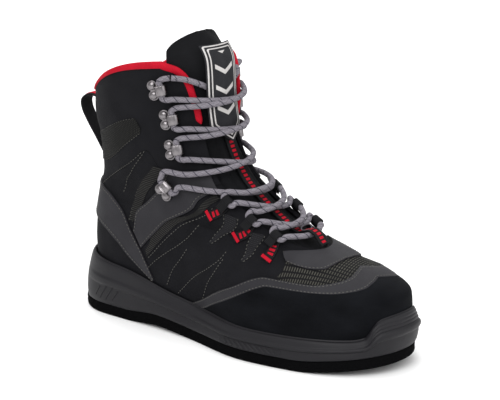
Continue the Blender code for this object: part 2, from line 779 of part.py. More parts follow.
def box(name, low, high, collection):
    mesh = bpy.data.meshes.new(name)
    work = bmesh.new()
    bmesh.ops.create_cube(work, size=1.0)
    size = Vector(high) - Vector(low)
    bmesh.ops.scale(work, vec=size, verts=work.verts)
    bmesh.ops.translate(work, vec=(Vector(high) + Vector(low)) / 2, verts=work.verts)
    work.to_mesh(mesh)
    work.free()
    return new_object(name, mesh, collection)


def stud(name, place, low_radius, high_radius, height, collection, segments=10):
    mesh = bpy.data.meshes.new(name)
    work = bmesh.new()
    bmesh.ops.create_cone(
        work, cap_ends=True, segments=segments, radius1=low_radius, radius2=high_radius, depth=height
    )
    bmesh.ops.translate(work, vec=Vector(place) + Vector((0, 0, height / 2)), verts=work.verts)
    work.to_mesh(mesh)
    work.free()
    return new_object(name, mesh, collection)


def hook_mesh(collection):
    """A folded hook: plate, two rivets, and a strip bent over the lace from the throat's side."""
    floor = BASE_HEIGHT["hook"]
    centre = (0.0008, floor + HOOK_BEND)
    path = [(-0.0100, floor), *arc(centre, HOOK_BEND, -90, 90, 7)]
    path += [(-0.0022, centre[1] + HOOK_BEND), (-0.0034, centre[1] + HOOK_BEND + 0.0006)]
    body = extruded("hook", band_outline(path, HOOK_METAL), HOOK_HALF, collection)
    plate_top = floor + HOOK_METAL / 2
    plate = box("plate", (-0.0104, -0.0064, 0.0004), (-0.0042, 0.0064, plate_top + 0.0001), collection)
    rivets = [
        stud("rivet", (-0.0073, across, plate_top - 0.0004), 0.0027, 0.0018, 0.0017, collection)
        for across in (-0.0034, 0.0034)
    ]
    return apply_union(body, [plate, *rivets])


def loop_mesh(collection):
    """Webbing sewn to the upper, its end folded round the lace."""
    floor = BASE_HEIGHT["lace_loop"]
    centre = (0.0008, floor + HOOK_BEND)
    path = [(-LOOP_LENGTH, floor), *arc(centre, HOOK_BEND + 0.0002, -90, 150, 10)]
    path += [(-0.0042, 0.0033)]
    return extruded("lace_loop", band_outline(path, WEBBING), LOOP_HALF, collection)


def make_fittings(collection, metal, webbing):
    patterns = {"hook": finish(hook_mesh(collection), metal), "lace_loop": finish(loop_mesh(collection), webbing)}
    for row in LACE_ROWS:
        for side in (LATERAL, MEDIAL):
            name = f"{row.kind}_{SIDE_NAMES[side]}_{row.number}"
            made = new_object(name, patterns[row.kind].data, collection)
            made.matrix_world = seat(side, row.w, row.level, row.turn, row.lift)
    for pattern in patterns.values():
        bpy.data.objects.remove(pattern, do_unlink=True)


def lace_height(row):
    """Height of the lace over the upper where it leaves a fitting."""
    return row.lift + BASE_HEIGHT[row.kind] + HOOK_BEND


def lace_turn(side, row):
    """The lace's points round one fitting, top to bottom."""
    matrix = seat(side, row.w, row.level, row.turn)
    return [matrix @ Vector((ahead, -side * up, lace_height(row))) for ahead, up in LACE_TURN]


def lace_leave(side, row, upper_end):
    """Reach from the throat's middle, ring number and height where the lace leaves a fitting."""
    v = row.level / COLLAR_RING
    places = at([side * row.w, side * (row.w + 0.01), side * row.w], [v, v, v + 0.01])
    per_w = np.linalg.norm(places[1] - places[0]) / 0.01
    per_v = np.linalg.norm(places[2] - places[0]) / 0.01
    ahead, up = LACE_TURN[0]
    up = up if upper_end else -up
    turn = math.radians(row.turn)
    forward = ahead * math.cos(turn) - up * math.sin(turn)
    upward = ahead * math.sin(turn) + up * math.cos(turn)
    reach = side * (1 - row.w - forward / per_w)
    return reach, row.level + upward / per_v * COLLAR_RING, lace_height(row)


def lace_crossing(start, end, middle, shares):
    """Points over the throat between two places, each a reach, a ring number and a height."""
    points = []
    for share in shares:
        reach, level, height = (first + (last - first) * share for first, last in zip(start, end))
        w = (1 - abs(reach)) * (-1 if reach < 0 else 1)
        height += (middle - height) * (1 - (1 - 2 * share) ** 2)
        points.append(Vector(at(w, level / COLLAR_RING, height)))
    return points


def lace_strand(first_side):
    """One half of the lace, zigzag from the top row to the middle of the lowest bar."""
    points = []
    side = first_side
    for row, below in zip(LACE_ROWS, LACE_ROWS[1:]):
        points += lace_turn(side, row)
        start, end = lace_leave(side, row, False), lace_leave(-side, below, True)
        points += lace_crossing(start, end, row.middle + LACE_WEAVE * side, (0.18, 0.34, 0.5, 0.66, 0.82))
        side = -side
    lowest = LACE_ROWS[-1]
    points += lace_turn(side, lowest)
    start, end = lace_leave(side, lowest, False), lace_leave(-side, lowest, False)
    return points + lace_crossing(start, end, lowest.middle, (0.2, 0.36, 0.52))


def make_laces(collection):
    strands = [tube(f"strand_{i}", lace_strand(side), LACE_RADIUS, collection) for i, side in enumerate((LATERAL, MEDIAL))]
    made = apply_union(strands[0], strands[1:])
    made.name = "laces"
    return made


def make_lace_end(side, collection):
    """A free end, from the top hook in under the label."""
    row = LACE_ROWS[0]
    start = lace_turn(side, row)[0]
    v = row.level / COLLAR_RING
    path = []
    for w, level, height in LACE_END:
        path.append(Vector(at(side * w, level / COLLAR_RING, height)))
    first = start + (path[0] - start).normalized() * 0.0012
    return tube("lace_end_" + SIDE_NAMES[side], [first, *path], LACE_RADIUS, collection)


def make_pull_loop(collection):
    heights = [height for _, height in PULL_LOOP]
    levels = bisect(
        np.full(len(heights), 0.3), np.ones(len(heights)),
        lambda v: last_points(np.zeros_like(v), v)[:, 2] > np.array(heights),
    )
    surface = at(np.zeros(len(heights)), levels)[:, 0]
    path = [(x - out, height) for x, (out, height) in zip(surface, PULL_LOOP)]
    return extruded("pull_loop", band_outline(path, PULL_LOOP_METAL), PULL_LOOP_HALF, collection)


def material(name, colour, roughness, metallic=0.0):
    made = bpy.data.materials.new(name)
    made.use_nodes = True
    shader = made.node_tree.nodes["Principled BSDF"]
    shader.inputs["Base Color"].default_value = (*colour, 1.0)
    shader.inputs["Roughness"].default_value = roughness
    shader.inputs["Metallic"].default_value = metallic
    made.diffuse_color = (*colour, 1.0)
    return made


def main():
    for obj in list(bpy.data.objects):
        bpy.data.objects.remove(obj, do_unlink=True)
    boot = bpy.data.collections.new("wading_boot")
    bpy.context.scene.collection.children.link(boot)
    felt = material("felt", (0.012, 0.012, 0.013), 0.95)
    rubber = material("grey_rubber", (0.035, 0.035, 0.039), 0.6)
    fabric = material("black_fabric", (0.014, 0.014, 0.016), 0.8)
    nubuck = material("black_rand", (0.010, 0.010, 0.012), 0.75)
    synthetic = material("grey_synthetic", (0.045, 0.045, 0.050), 0.65)
    foam = material("footbed", (0.02, 0.02, 0.022), 0.9)
    red = material("red_binding", (0.55, 0.01, 0.03), 0.6)
    label = material("label", (0.05, 0.05, 0.055), 0.6)
    webbing = material("black_webbing", (0.012, 0.012, 0.013), 0.8)
    metal = material("pewter", (0.55, 0.54, 0.55), 0.3, 1.0)
    cord = material("lace", (0.30, 0.29, 0.30), 0.8)
    finish(make_felt(boot), felt)
    finish(make_midsole(boot), rubber)
    finish(make_insole(boot), foam)
    finish(make_upper(boot), fabric)
    finish(make_tongue(boot), fabric)
    finish(make_band("toe_cap", TOE_CAP, 7, boot, 0.03), nubuck)
    finish(make_band("toe_trim", TOE_TRIM, 3, boot, 0.03), synthetic)
    finish(make_band("vamp_patch", VAMP_PATCH, 4, boot), synthetic)
    finish(make_heel_strap(boot), synthetic)
    finish(make_binding(boot), red)
    finish(make_label(boot), label)
    finish(make_strip(boot), webbing)
    finish(make_pull_loop(boot), webbing)
    finish(make_laces(boot), cord)
    make_fittings(boot, metal, webbing)
    for side in (LATERAL, MEDIAL):
        finish(make_ankle_strap(side, boot), synthetic)
        finish(make_lace_end(side, boot), cord)


if __name__ == "__main__":
    main()
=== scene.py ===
"""Dressed wading boot: smooth woven upper, moulded rubber, felt, webbing, hooks and braided lace.

Metres. Toe at +X, lateral side at -Y, medial side at +Y, +Z up, origin under the heel seat.
Every piece lies on one last: w runs round it, -1 at the front over the lateral side to 0 at the
back and 1 at the front again, and rings run up it from 0 at the feather edge to 11 at the collar.
"""

import math
from collections import namedtuple

import bpy
import numpy as np
from mathutils import Matrix, Vector


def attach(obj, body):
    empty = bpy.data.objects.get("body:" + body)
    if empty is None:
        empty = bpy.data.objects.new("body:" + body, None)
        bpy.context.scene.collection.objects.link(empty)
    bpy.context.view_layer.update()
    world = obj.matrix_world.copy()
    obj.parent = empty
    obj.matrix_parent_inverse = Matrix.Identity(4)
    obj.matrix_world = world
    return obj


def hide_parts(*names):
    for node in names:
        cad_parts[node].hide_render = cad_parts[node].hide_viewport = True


bl_info = {
    "name": "Wading boot",
    "version": (1, 0, 0),
    "blender": (4, 5, 0),
    "location": "View3D > Sidebar > Boot",
    "description": "Builds a felt-soled wading boot from the form of its last",
    "category": "Add Mesh",
}

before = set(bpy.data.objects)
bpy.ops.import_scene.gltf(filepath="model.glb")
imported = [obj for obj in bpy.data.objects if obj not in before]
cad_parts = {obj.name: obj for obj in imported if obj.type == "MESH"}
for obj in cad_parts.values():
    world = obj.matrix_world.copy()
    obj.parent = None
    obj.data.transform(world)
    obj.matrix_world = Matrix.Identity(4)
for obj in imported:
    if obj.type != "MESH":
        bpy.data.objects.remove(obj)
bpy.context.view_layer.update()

# Sizes that the shape is worked out from
LAST_LENGTH = 0.300
BALL_HALF = 0.054
COLLAR_FRONT = 0.222
COLLAR_BACK = 0.177
SEAT_HEIGHT = 0.027
HEEL_CENTRE = 0.045
UPPER_WALL = 0.0028
GAP = 0.0003
CUP_GAP = 0.0009
FELT_THICKNESS = 0.0095
CUP_LIP = 0.0024
INSOLE_THICKNESS = 0.004
TONGUE_WALL = 0.006
TONGUE_UNDER = 0.0037
TONGUE_ROLL = 0.0024
LACE_RADIUS = 0.0023

# Rounding of the plan at heel and toe, and how its middle line swings to the medial side
SEAT_ROUND = 0.046
NOSE_ROUND = 0.066
ROUND_POWER = 2.2
TOE_SWING = 0.009
SWING_POWER = 2.5
SWING_END = 1.1
MEDIAL_WAIST = 0.88
TIP_HALF = 0.94

LATERAL, MEDIAL = -1, 1
SIDES = {"lateral": LATERAL, "medial": MEDIAL}

# x in last lengths, front z in COLLAR_FRONT, back z in COLLAR_BACK, half-widths in BALL_HALF,
# and how early the ring rises from its back height to its front height
Ring = namedtuple("Ring", "front_x front_z back_x back_z heel waist ball toe rise")
RINGS = (
    Ring(0.990, 0.117, 0.022, 0.153, 0.70, 0.70, 0.94, 0.80, 1.0),
    Ring(1.003, 0.182, 0.014, 0.254, 0.76, 0.75, 1.00, 0.87, 1.0),
    Ring(1.000, 0.255, 0.012, 0.350, 0.78, 0.76, 0.98, 0.86, 1.0),
    Ring(0.965, 0.290, 0.014, 0.435, 0.77, 0.76, 0.85, 0.78, 1.0),
    Ring(0.888, 0.332, 0.020, 0.508, 0.76, 0.75, 0.74, 0.64, 1.0),
    Ring(0.785, 0.373, 0.027, 0.576, 0.74, 0.74, 0.67, 0.61, 1.0),
    Ring(0.702, 0.420, 0.032, 0.644, 0.71, 0.75, 0.63, 0.64, 1.0),
    Ring(0.605, 0.493, 0.036, 0.712, 0.70, 0.77, 0.64, 0.66, 1.2),
    Ring(0.510, 0.593, 0.036, 0.780, 0.71, 0.80, 0.69, 0.65, 1.6),
    Ring(0.455, 0.730, 0.030, 0.862, 0.73, 0.83, 0.77, 0.69, 2.3),
    Ring(0.436, 0.860, 0.022, 0.945, 0.75, 0.86, 0.81, 0.73, 2.9),
    Ring(0.428, 1.000, 0.018, 1.030, 0.77, 0.88, 0.84, 0.76, 3.2),
    Ring(0.365, 1.113, 0.012, 1.205, 0.78, 0.88, 0.84, 0.76, 3.2),
)
COLLAR_RING = 11
RISE_EASE = 0.13
RING_LEVELS = np.arange(len(RINGS), dtype=float)
RING_TABLE = np.array(RINGS)
STATIONS = {
    LATERAL: (0.0, 0.12, 0.42, 0.64, 0.88, 1.0),
    MEDIAL: (0.0, 0.12, 0.42, 0.70, 0.88, 1.0),
}

# Heights along the last: x in last lengths, z in SEAT_HEIGHT, or in FELT_THICKNESS for the felt
FOOTBED = (
    (-0.05, 1.00), (0.20, 0.97), (0.37, 0.86), (0.50, 0.72),
    (0.67, 0.64), (0.80, 0.67), (0.92, 0.80), (1.05, 0.97),
)
CUP_TOP = (
    (-0.05, 1.88), (0.05, 1.83), (0.20, 1.66), (0.37, 1.22), (0.50, 1.02),
    (0.67, 0.98), (0.85, 1.04), (0.93, 1.08), (0.955, 1.16), (0.985, 1.68), (1.05, 1.90),
)
FELT_UNDER = (
    (-0.04, 0.30), (0.03, 0.0), (0.19, 0.0), (0.31, 0.32), (0.47, 0.0),
    (0.79, 0.0), (0.90, 0.35), (1.04, 1.00),
)
# The ring up to which the last follows the footbed's curve
BED_FADE = 4.4

# Slanting ribs on the midsole's wall, and the frame round them: |w| and shares of the way down
Ribs = namedtuple("Ribs", "first last count top bottom lean taper radius")
WALL_RIBS = (
    Ribs(0.560, 0.660, 10, 0.64, 0.90, 0.014, 0.45, 0.0008),
    Ribs(0.215, 0.275, 4, 0.56, 0.88, -0.016, 0.3, 0.0006),
)
RibFrame = namedtuple("RibFrame", "w half_w down half_down")
RIB_FRAMES = (RibFrame(0.610, 0.064, 0.77, 0.17),)

# Plan outline of the sole
Outline = namedtuple("Outline", "front_x back_x heel waist ball toe")
SOLE = Outline(1.014, -0.027, 0.805, 0.86, 1.093, 0.944)

# Outer wall of the midsole, top edge to felt: share of the way down, of the flare, and bulge
CUP_WALL = (
    (0.00, 0.00, -0.0012), (0.03, 0.08, 0.0000), (0.10, 0.20, 0.0007), (0.22, 0.33, 0.0012),
    (0.33, 0.44, 0.0016), (0.38, 0.50, 0.0027), (0.46, 0.59, 0.0029), (0.52, 0.66, 0.0024),
    (0.56, 0.69, 0.0013), (0.70, 0.82, 0.0016), (0.86, 0.95, 0.0018), (0.96, 0.99, 0.0012),
    (1.00, 1.00, 0.0002),
)
# |w| at which the side steps and the toe bumper fade in on that wall, and over how much
STEPS_FADE = (0.13, 0.09)
BUMPER_FADE = (0.84, 0.06)
BUMPER_GROOVES = 11
BUMPER_GROOVE_DEPTH = 0.0005
BUMPER_BULGE = 0.0022
HEEL_BULGE = 0.0014

# Side of the felt: share of the way up, and how far in
FELT_SIDE = (
    (0.05, 0.0009), (0.14, 0.0003), (0.3, 0.0), (0.5, 0.0002), (0.7, 0.0), (0.9, 0.0003),
    (0.99, 0.0010),
)
SOLE_COLUMNS = 261
INSOLE_INSET = UPPER_WALL + 0.0012

# Half-width of the throat: ring, half-gap in BALL_HALF
THROAT = (
    (5.22, 0.0), (5.33, 0.20), (5.5, 0.31), (5.83, 0.39), (6.6, 0.43), (7.7, 0.42), (8.8, 0.39),
    (9.68, 0.41), (10.23, 0.46), (10.56, 0.51), (10.83, 0.60), (11.0, 0.72), (12.0, 0.80),
)

# Panels sewn on the upper: lower edge then upper edge, each |w| and ring
Edges = namedtuple("Edges", "w_low low w_high high")
HEEL_STRAP = (
    Edges(0.00, 3.70, 0.00, 5.85), Edges(0.12, 3.48, 0.13, 5.75), Edges(0.21, 3.05, 0.24, 5.55),
    Edges(0.26, 2.40, 0.295, 4.70), Edges(0.29, 1.80, 0.308, 3.45), Edges(0.33, 1.20, 0.335, 2.00),
    Edges(0.357, 0.82, 0.359, 0.90),
)
ANKLE_STRAP = (
    Edges(0.332, 2.42, 0.318, 3.40), Edges(0.365, 3.30, 0.345, 4.75), Edges(0.435, 4.75, 0.42, 6.10),
    Edges(0.545, 6.12, 0.50, 7.10), Edges(0.655, 7.15, 0.60, 8.05), Edges(0.72, 7.45, 0.70, 8.15),
    Edges(0.775, 7.62, 0.785, 8.20),
)
BACK_PATCH = (
    Edges(0.00, 7.20, 0.00, 8.72), Edges(0.10, 7.22, 0.11, 8.78), Edges(0.17, 7.38, 0.20, 8.93),
    Edges(0.245, 7.65, 0.30, 9.13), Edges(0.335, 8.15, 0.39, 9.34), Edges(0.43, 8.65, 0.475, 9.50),
    Edges(0.50, 8.98, 0.520, 9.54), Edges(0.533, 9.10, 0.540, 9.25),
)
RIB_STRIP_BACK = (
    Edges(0.322, 4.00, 0.312, 4.10), Edges(0.372, 5.35, 0.348, 5.45), Edges(0.425, 6.50, 0.392, 6.55),
    Edges(0.500, 7.40, 0.462, 7.45), Edges(0.580, 8.08, 0.540, 8.15),
)
RIB_STRIP_FRONT = (
    Edges(0.345, 2.00, 0.342, 2.38), Edges(0.400, 3.55, 0.372, 3.25), Edges(0.475, 4.95, 0.443, 4.70),
    Edges(0.565, 6.00, 0.553, 6.06), Edges(0.680, 6.98, 0.664, 7.08), Edges(0.755, 7.35, 0.745, 7.48),
)
DART_TOP = (
    Edges(0.537, 4.20, 0.535, 4.25), Edges(0.622, 5.28, 0.602, 5.30), Edges(0.752, 6.62, 0.712, 6.72),
)
DART_LOW = (
    Edges(0.597, 3.60, 0.595, 3.65), Edges(0.677, 4.72, 0.657, 4.75), Edges(0.790, 5.95, 0.748, 5.95),
)
# Bands across the toe: |w|, lower and upper edge as rings
Band = namedtuple("Band", "w low high")
TOE_CAP = (
    Band(0.455, 0.20, 0.24), Band(0.475, 0.20, 0.42), Band(0.51, 0.20, 0.98), Band(0.565, 0.20, 1.70),
    Band(0.64, 0.20, 2.62), Band(0.69, 0.20, 2.70), Band(0.755, 0.20, 2.76),
    Band(0.80, 0.20, 2.82), Band(0.84, 0.20, 2.94), Band(0.90, 0.20, 3.16),
    Band(0.94, 0.20, 3.36), Band(1.00, 0.20, 3.58),
)
TOE_TRIM = (
    Band(0.445, 0.20, 0.35), Band(0.475, 0.40, 0.85), Band(0.51, 0.94, 1.42), Band(0.565, 1.66, 2.18),
    Band(0.615, 2.35, 2.88), Band(0.64, 2.58, 3.08), Band(0.69, 2.66, 3.13), Band(0.755, 2.72, 3.16),
    Band(0.80, 2.78, 3.32), Band(0.84, 2.90, 3.48), Band(0.90, 3.12, 3.76),
    Band(0.94, 3.32, 3.96), Band(1.00, 3.54, 4.17),
)
VAMP_MESH = (
    Band(0.660, 3.00, 3.08), Band(0.70, 3.02, 3.75), Band(0.735, 3.05, 4.30), Band(0.76, 3.10, 4.70),
    Band(0.785, 3.20, 5.02), Band(0.83, 3.38, 5.12), Band(0.88, 3.62, 5.17), Band(0.94, 3.88, 5.19),
    Band(1.0, 4.10, 5.19),
)
VAMP_PATCH = (
    Band(0.738, 4.30, 4.34), Band(0.755, 4.14, 4.64), Band(0.785, 4.06, 4.98),
    Band(0.83, 4.12, 5.10), Band(0.88, 4.32, 5.15), Band(0.94, 4.50, 5.17), Band(1.00, 4.58, 5.17),
)

# Seam over the body cloth, under the collar cloth: |w| and ring
BODY_TOP = (
    (0.0, 5.2), (0.10, 5.35), (0.175, 5.75), (0.26, 6.72), (0.36, 7.60), (0.44, 8.12), (0.515, 8.55),
    (0.545, 8.62), (0.556, 8.40), (0.562, 7.80), (0.60, 7.35), (0.66, 7.50), (0.72, 7.70),
    (0.80, 7.80), (1.0, 7.8),
)

# Lines of stitching on both sides: rows of |w| and ring
STITCH_LINES = (
    ((0.00, 8.72), (0.11, 8.78), (0.20, 8.93), (0.30, 9.13), (0.39, 9.34), (0.475, 9.50), (0.52, 9.54)),
    ((0.00, 7.20), (0.10, 7.22), (0.17, 7.38), (0.245, 7.65), (0.335, 8.15), (0.43, 8.65), (0.533, 9.10)),
    ((0.175, 5.75), (0.26, 6.72), (0.36, 7.60), (0.44, 8.12), (0.515, 8.55)),
    ((0.315, 5.95), (0.365, 7.05), (0.42, 7.65), (0.465, 8.10), (0.53, 8.60)),
    ((0.308, 4.00), (0.345, 5.35), (0.388, 6.48), (0.458, 7.40), (0.535, 8.08)),
    ((0.347, 1.90), (0.404, 3.45), (0.480, 4.85), (0.570, 5.92), (0.684, 6.90)),
    ((0.345, 1.40), (0.395, 2.55), (0.470, 4.00), (0.550, 5.40)),
    ((0.390, 0.85), (0.405, 1.60), (0.430, 2.50), (0.455, 3.30)),
    ((0.415, 0.60), (0.450, 1.55), (0.500, 2.60), (0.570, 4.00)),
    ((0.475, 0.85), (0.490, 1.65), (0.505, 2.20), (0.535, 3.15), (0.548, 3.45)),
    ((0.790, 5.08), (0.765, 4.72), (0.740, 4.32), (0.703, 3.78), (0.668, 3.22)),
)
Stitch = namedtuple("Stitch", "length gap radius")
STITCH = Stitch(0.0019, 0.0011, 0.0003)
PANEL_THICKNESS = 0.0013
THIN_CLOTH = 0.0005

# Soft folds in the upper: |w| and ring of the middle, half-length and half-width, turn, depth
Fold = namedtuple("Fold", "w ring long_w across_ring turn depth")
FOLDS = (
    Fold(0.70, 8.15, 0.10, 0.30, 0.9, -0.0009), Fold(0.62, 5.60, 0.10, 0.45, 1.4, 0.0007),
    Fold(0.50, 6.90, 0.16, 0.35, 1.2, -0.0007), Fold(0.42, 7.90, 0.16, 0.35, 0.8, 0.0006),
    Fold(0.25, 6.60, 0.15, 0.40, 0.2, -0.0006), Fold(0.78, 3.80, 0.14, 0.30, 0.3, -0.0005),
    Fold(0.66, 4.60, 0.07, 0.40, 1.5, -0.0008), Fold(0.75, 6.15, 0.06, 0.35, 1.3, 0.0007),
)
# Padding of the collar and the medial flap: height, and where each starts and over how much
COLLAR_PADDING = 0.0016
PADDING_RINGS = (8.9, 2.0)
PADDING_FRONT = (0.52, 0.2)
MEDIAL_FLARE = 0.0050
FLARE_W = (0.50, 0.2)
FLARE_RINGS = (9.0, 1.0)

# Rows of the lacing from the top: |w| and ring of the fitting, its turn in degrees, its lift off
# the upper, and the height of the crossing below it over the throat
LaceRow = namedtuple("LaceRow", "kind number w ring turn lift middle")
LACE_ROWS = (
    LaceRow("hook", 1, 0.660, 10.35, 8.0, 0.0006, 0.0072),
    LaceRow("hook", 2, 0.695, 9.55, 8.0, 0.0006, 0.0072),
    LaceRow("hook", 3, 0.685, 8.72, 8.0, 0.0009, 0.0048),
    LaceRow("hook", 4, 0.560, 7.45, 55.0, 0.0038, 0.0048),
    LaceRow("lace_loop", 1, 0.765, 7.15, 50.0, 0.0004, 0.0042),
    LaceRow("lace_loop", 2, 0.790, 6.45, 50.0, 0.0004, 0.0042),
    LaceRow("lace_loop", 3, 0.815, 5.75, 50.0, 0.0004, 0.0042),
)
LACE_WEAVE = 0.0017
# The lace's free ends: |w|, ring and height over the last
LACE_END = (
    (0.755, 10.62, 0.0040), (0.79, 10.57, 0.0038), (0.815, 10.52, 0.0032), (0.84, 10.46, 0.0014),
    (0.865, 10.40, -0.0007), (0.90, 10.30, -0.0007), (0.93, 10.20, -0.0007),
)
# The lace's way round each kind of fitting: metres towards the throat, and up
LACE_TURN = {
    "hook": (
        (0.0095, 0.0088), (0.0036, 0.0086), (-0.0002, 0.0066), (0.0006, 0.0034),
        (0.0006, -0.0034), (-0.0002, -0.0066), (0.0036, -0.0086), (0.0095, -0.0088),
    ),
    "lace_loop": (
        (0.0064, 0.0062), (0.0022, 0.0056), (0.0006, 0.0034),
        (0.0006, -0.0034), (0.0022, -0.0056), (0.0064, -0.0062),
    ),
}
HOOK_HALF = 0.0042
HOOK_METAL = 0.0012
HOOK_RIVET = 0.0040
RIVET_BACK = -0.0073
RIVET_PLATE = 0.0042
RIVET_DOME = 0.0034
HOOK_BEND = 0.0032
BASE_HEIGHT = {"hook": 0.00095, "lace_loop": 0.00125}
WEBBING = 0.0013
LOOP_HALF = 0.0040
# Red bars at the loops' feet: |w| and ring
LOOP_BARS = ((0.62, 6.30), (0.645, 5.20), (0.67, 4.10))
# Where the webbing shows its ladder, in metres from the bar
LADDER_SHOWN = (0.0048, 0.0152)
LADDER_PITCH = 0.0037
BINDING_FOOT = 9.4
# Cross-section of the folded tape: out of the edge, and out of the upper
BINDING_PROFILE = (
    (-0.0046, -0.0003), (-0.0046, 0.0007), (-0.0030, 0.0011), (-0.0008, 0.0012), (0.0008, 0.0008),
    (0.0017, -0.0002), (0.0019, -0.0016), (0.0013, -0.0030), (0.0000, -0.0038), (-0.0040, -0.0041),
    (-0.0085, -0.0040), (-0.0085, -0.0028), (-0.0040, -0.0018),
)

# Tongue: ring and half-width in BALL_HALF
TONGUE = (
    (5.0, 0.22), (5.17, 0.30), (5.5, 0.46), (6.6, 0.55), (7.92, 0.56), (9.35, 0.60),
    (10.45, 0.67), (11.0, 0.69), (11.35, 0.66), (11.6, 0.57), (11.8, 0.42), (11.92, 0.26), (11.97, 0.12),
)
LABEL_HALF = 0.0153
LABEL_ASIDE = 0.0018
LABEL_RINGS = (8.85, 11.45)
LABEL_LIFT = 0.0058
LABEL_POINT = 0.85
# Webbing down the tongue: ring and height over the tongue
STRIP_HALF = 0.0055
STRIP = (
    (5.26, 0.0060), (5.39, 0.0072), (5.52, 0.0092), (5.65, 0.0104), (5.83, 0.0104),
    (6.0, 0.0070), (6.16, 0.0022), (6.44, 0.0009), (7.3, 0.0009), (8.1, 0.0009), (9.0, 0.0009),
)
KEEPER_RING = 0.0042
# Webbing loop at the heel: how far out of the last, and height over the floor
PULL_LOOP_HALF = 0.0068
PULL_LOOP_THICKNESS = 0.0018
PULL_LOOP = (
    (0.0014, 0.1790), (0.0014, 0.1715), (0.0100, 0.1745), (0.0200, 0.1750), (0.0280, 0.1700),
    (0.0288, 0.1620), (0.0245, 0.1520), (0.0170, 0.1400), (0.0098, 0.1300), (0.0040, 0.1225),
    (0.0016, 0.1180), (0.0016, 0.1140),
)

# Finishing of meshes: metres and degrees
MERGE_DISTANCE = 0.00002
SHARP_EDGE = 50
SMOOTH_ANGLE = 48
RED_LINING_ABOVE = 0.158

# The camera that the photograph fits: degrees, metres
CAMERA_AZIMUTH = -53.71
CAMERA_ELEVATION = 15.95
CAMERA_DISTANCE = 1.493
CAMERA_PIVOT = Vector((0.2116, 0.0, 0.1326))
CAMERA_AIM = Vector((0.1495, -0.0456, 0.1290))
CAMERA_LENS = 140.0

Lamp = namedtuple("Lamp", "name place size power")
LAMPS = (
    Lamp("key", (0.55, -1.30, 1.25), 1.1, 20.0),
    Lamp("fill", (1.50, 0.20, 0.80), 1.4, 9.0),
    Lamp("back", (-0.90, 0.90, 1.20), 1.2, 14.0),
    Lamp("top", (0.10, -0.10, 1.60), 1.0, 9.0),
)
LAMP_AIM = Vector((0.10, 0.0, 0.10))
WORLD_STRENGTH = 0.70

# Tones that no property changes
TONES = {
    "groove": "070708",
    "net": "0f0f11",
    "net thread": "504f48",
    "webbing": "0b0b0c",
    "webbing rib": "29292c",
    "label": "17171a",
    "label lit": "303033",
    "label mark": "9c9897",
    "label mark lit": "d6d3d1",
    "footbed": "141416",
    "footbed lit": "2a2a2d",
}


def smooth(stations, values, at):
    """Cubic curve through the values that never overshoots them, read at each place."""
    stations = np.asarray(stations, float)
    values = np.asarray(values, float)
    at = np.asarray(at, float)
    if values.ndim == 1:
        values = np.repeat(values[:, None], at.size, axis=1)
    step = np.diff(stations)[:, None]
    rise = np.diff(values, axis=0) / step
    slope = np.zeros_like(values)
    slope[0] = rise[0]
    slope[-1] = rise[-1]
    same = rise[:-1] * rise[1:] > 0
    both = np.where(same, rise[:-1] + rise[1:], 1.0)
    slope[1:-1] = np.where(same, 2 * rise[:-1] * rise[1:] / both, 0.0)
    cell = np.clip(np.searchsorted(stations, at, side="right") - 1, 0, len(stations) - 2)
    which = np.arange(at.size)
    width = step[cell, 0]
    t = np.clip((at - stations[cell]) / width, 0.0, 1.0)
    start = values[cell, which]
    end = values[cell + 1, which]
    start_slope = slope[cell, which] * width
    end_slope = slope[cell + 1, which] * width
    return (
        start * (2 * t**3 - 3 * t**2 + 1)
        + start_slope * (t**3 - 2 * t**2 + t)
        + end * (3 * t**2 - 2 * t**3)
        + end_slope * (t**3 - t**2)
    )


def table_at(table, at):
    """A table's other columns, each read smoothly at these places in its first column."""
    rows = np.array(table, float)
    flat = np.ravel(at)
    read = [smooth(rows[:, 0], rows[:, k], flat).reshape(np.shape(at)) for k in range(1, rows.shape[1])]
    return read[0] if len(read) == 1 else read


def ramp(value, start, width):
    """0 up to the start, then up to 1 over the width."""
    return np.clip((value - start) / width, 0, 1)


def middle_y(x):
    """Middle line of the last in plan, x from the back of the heel."""
    return TOE_SWING * np.clip(x / LAST_LENGTH, 0, SWING_END) ** SWING_POWER


def footbed(x):
    return SEAT_HEIGHT * table_at(FOOTBED, x / LAST_LENGTH)


def felt_under(x):
    return FELT_THICKNESS * table_at(FELT_UNDER, x / LAST_LENGTH)


def cup_top(x):
    return SEAT_HEIGHT * table_at(CUP_TOP, x / LAST_LENGTH)


def plan(w, front, back, widths):
    """x, y and share of the length on a closed outline."""
    q = (1 - np.cos(math.pi * np.abs(w))) / 2
    x = back + (front - back) * q
    half = np.zeros_like(q)
    for side, stations in STATIONS.items():
        heel, waist, ball, toe = widths
        if side == MEDIAL:
            waist = waist * MEDIAL_WAIST
        rows = np.array([heel, heel, waist, ball, toe, toe * TIP_HALF])
        half = np.where(np.sign(w) == side, smooth(stations, rows, q), half)
    for distance, length in ((x - back, SEAT_ROUND), (front - x, NOSE_ROUND)):
        inside = 1 - np.clip(distance / length, 0.0, 1.0)
        half = half * (1 - inside**ROUND_POWER) ** (1 / ROUND_POWER)
    return x, np.sign(w) * half + middle_y(x), q


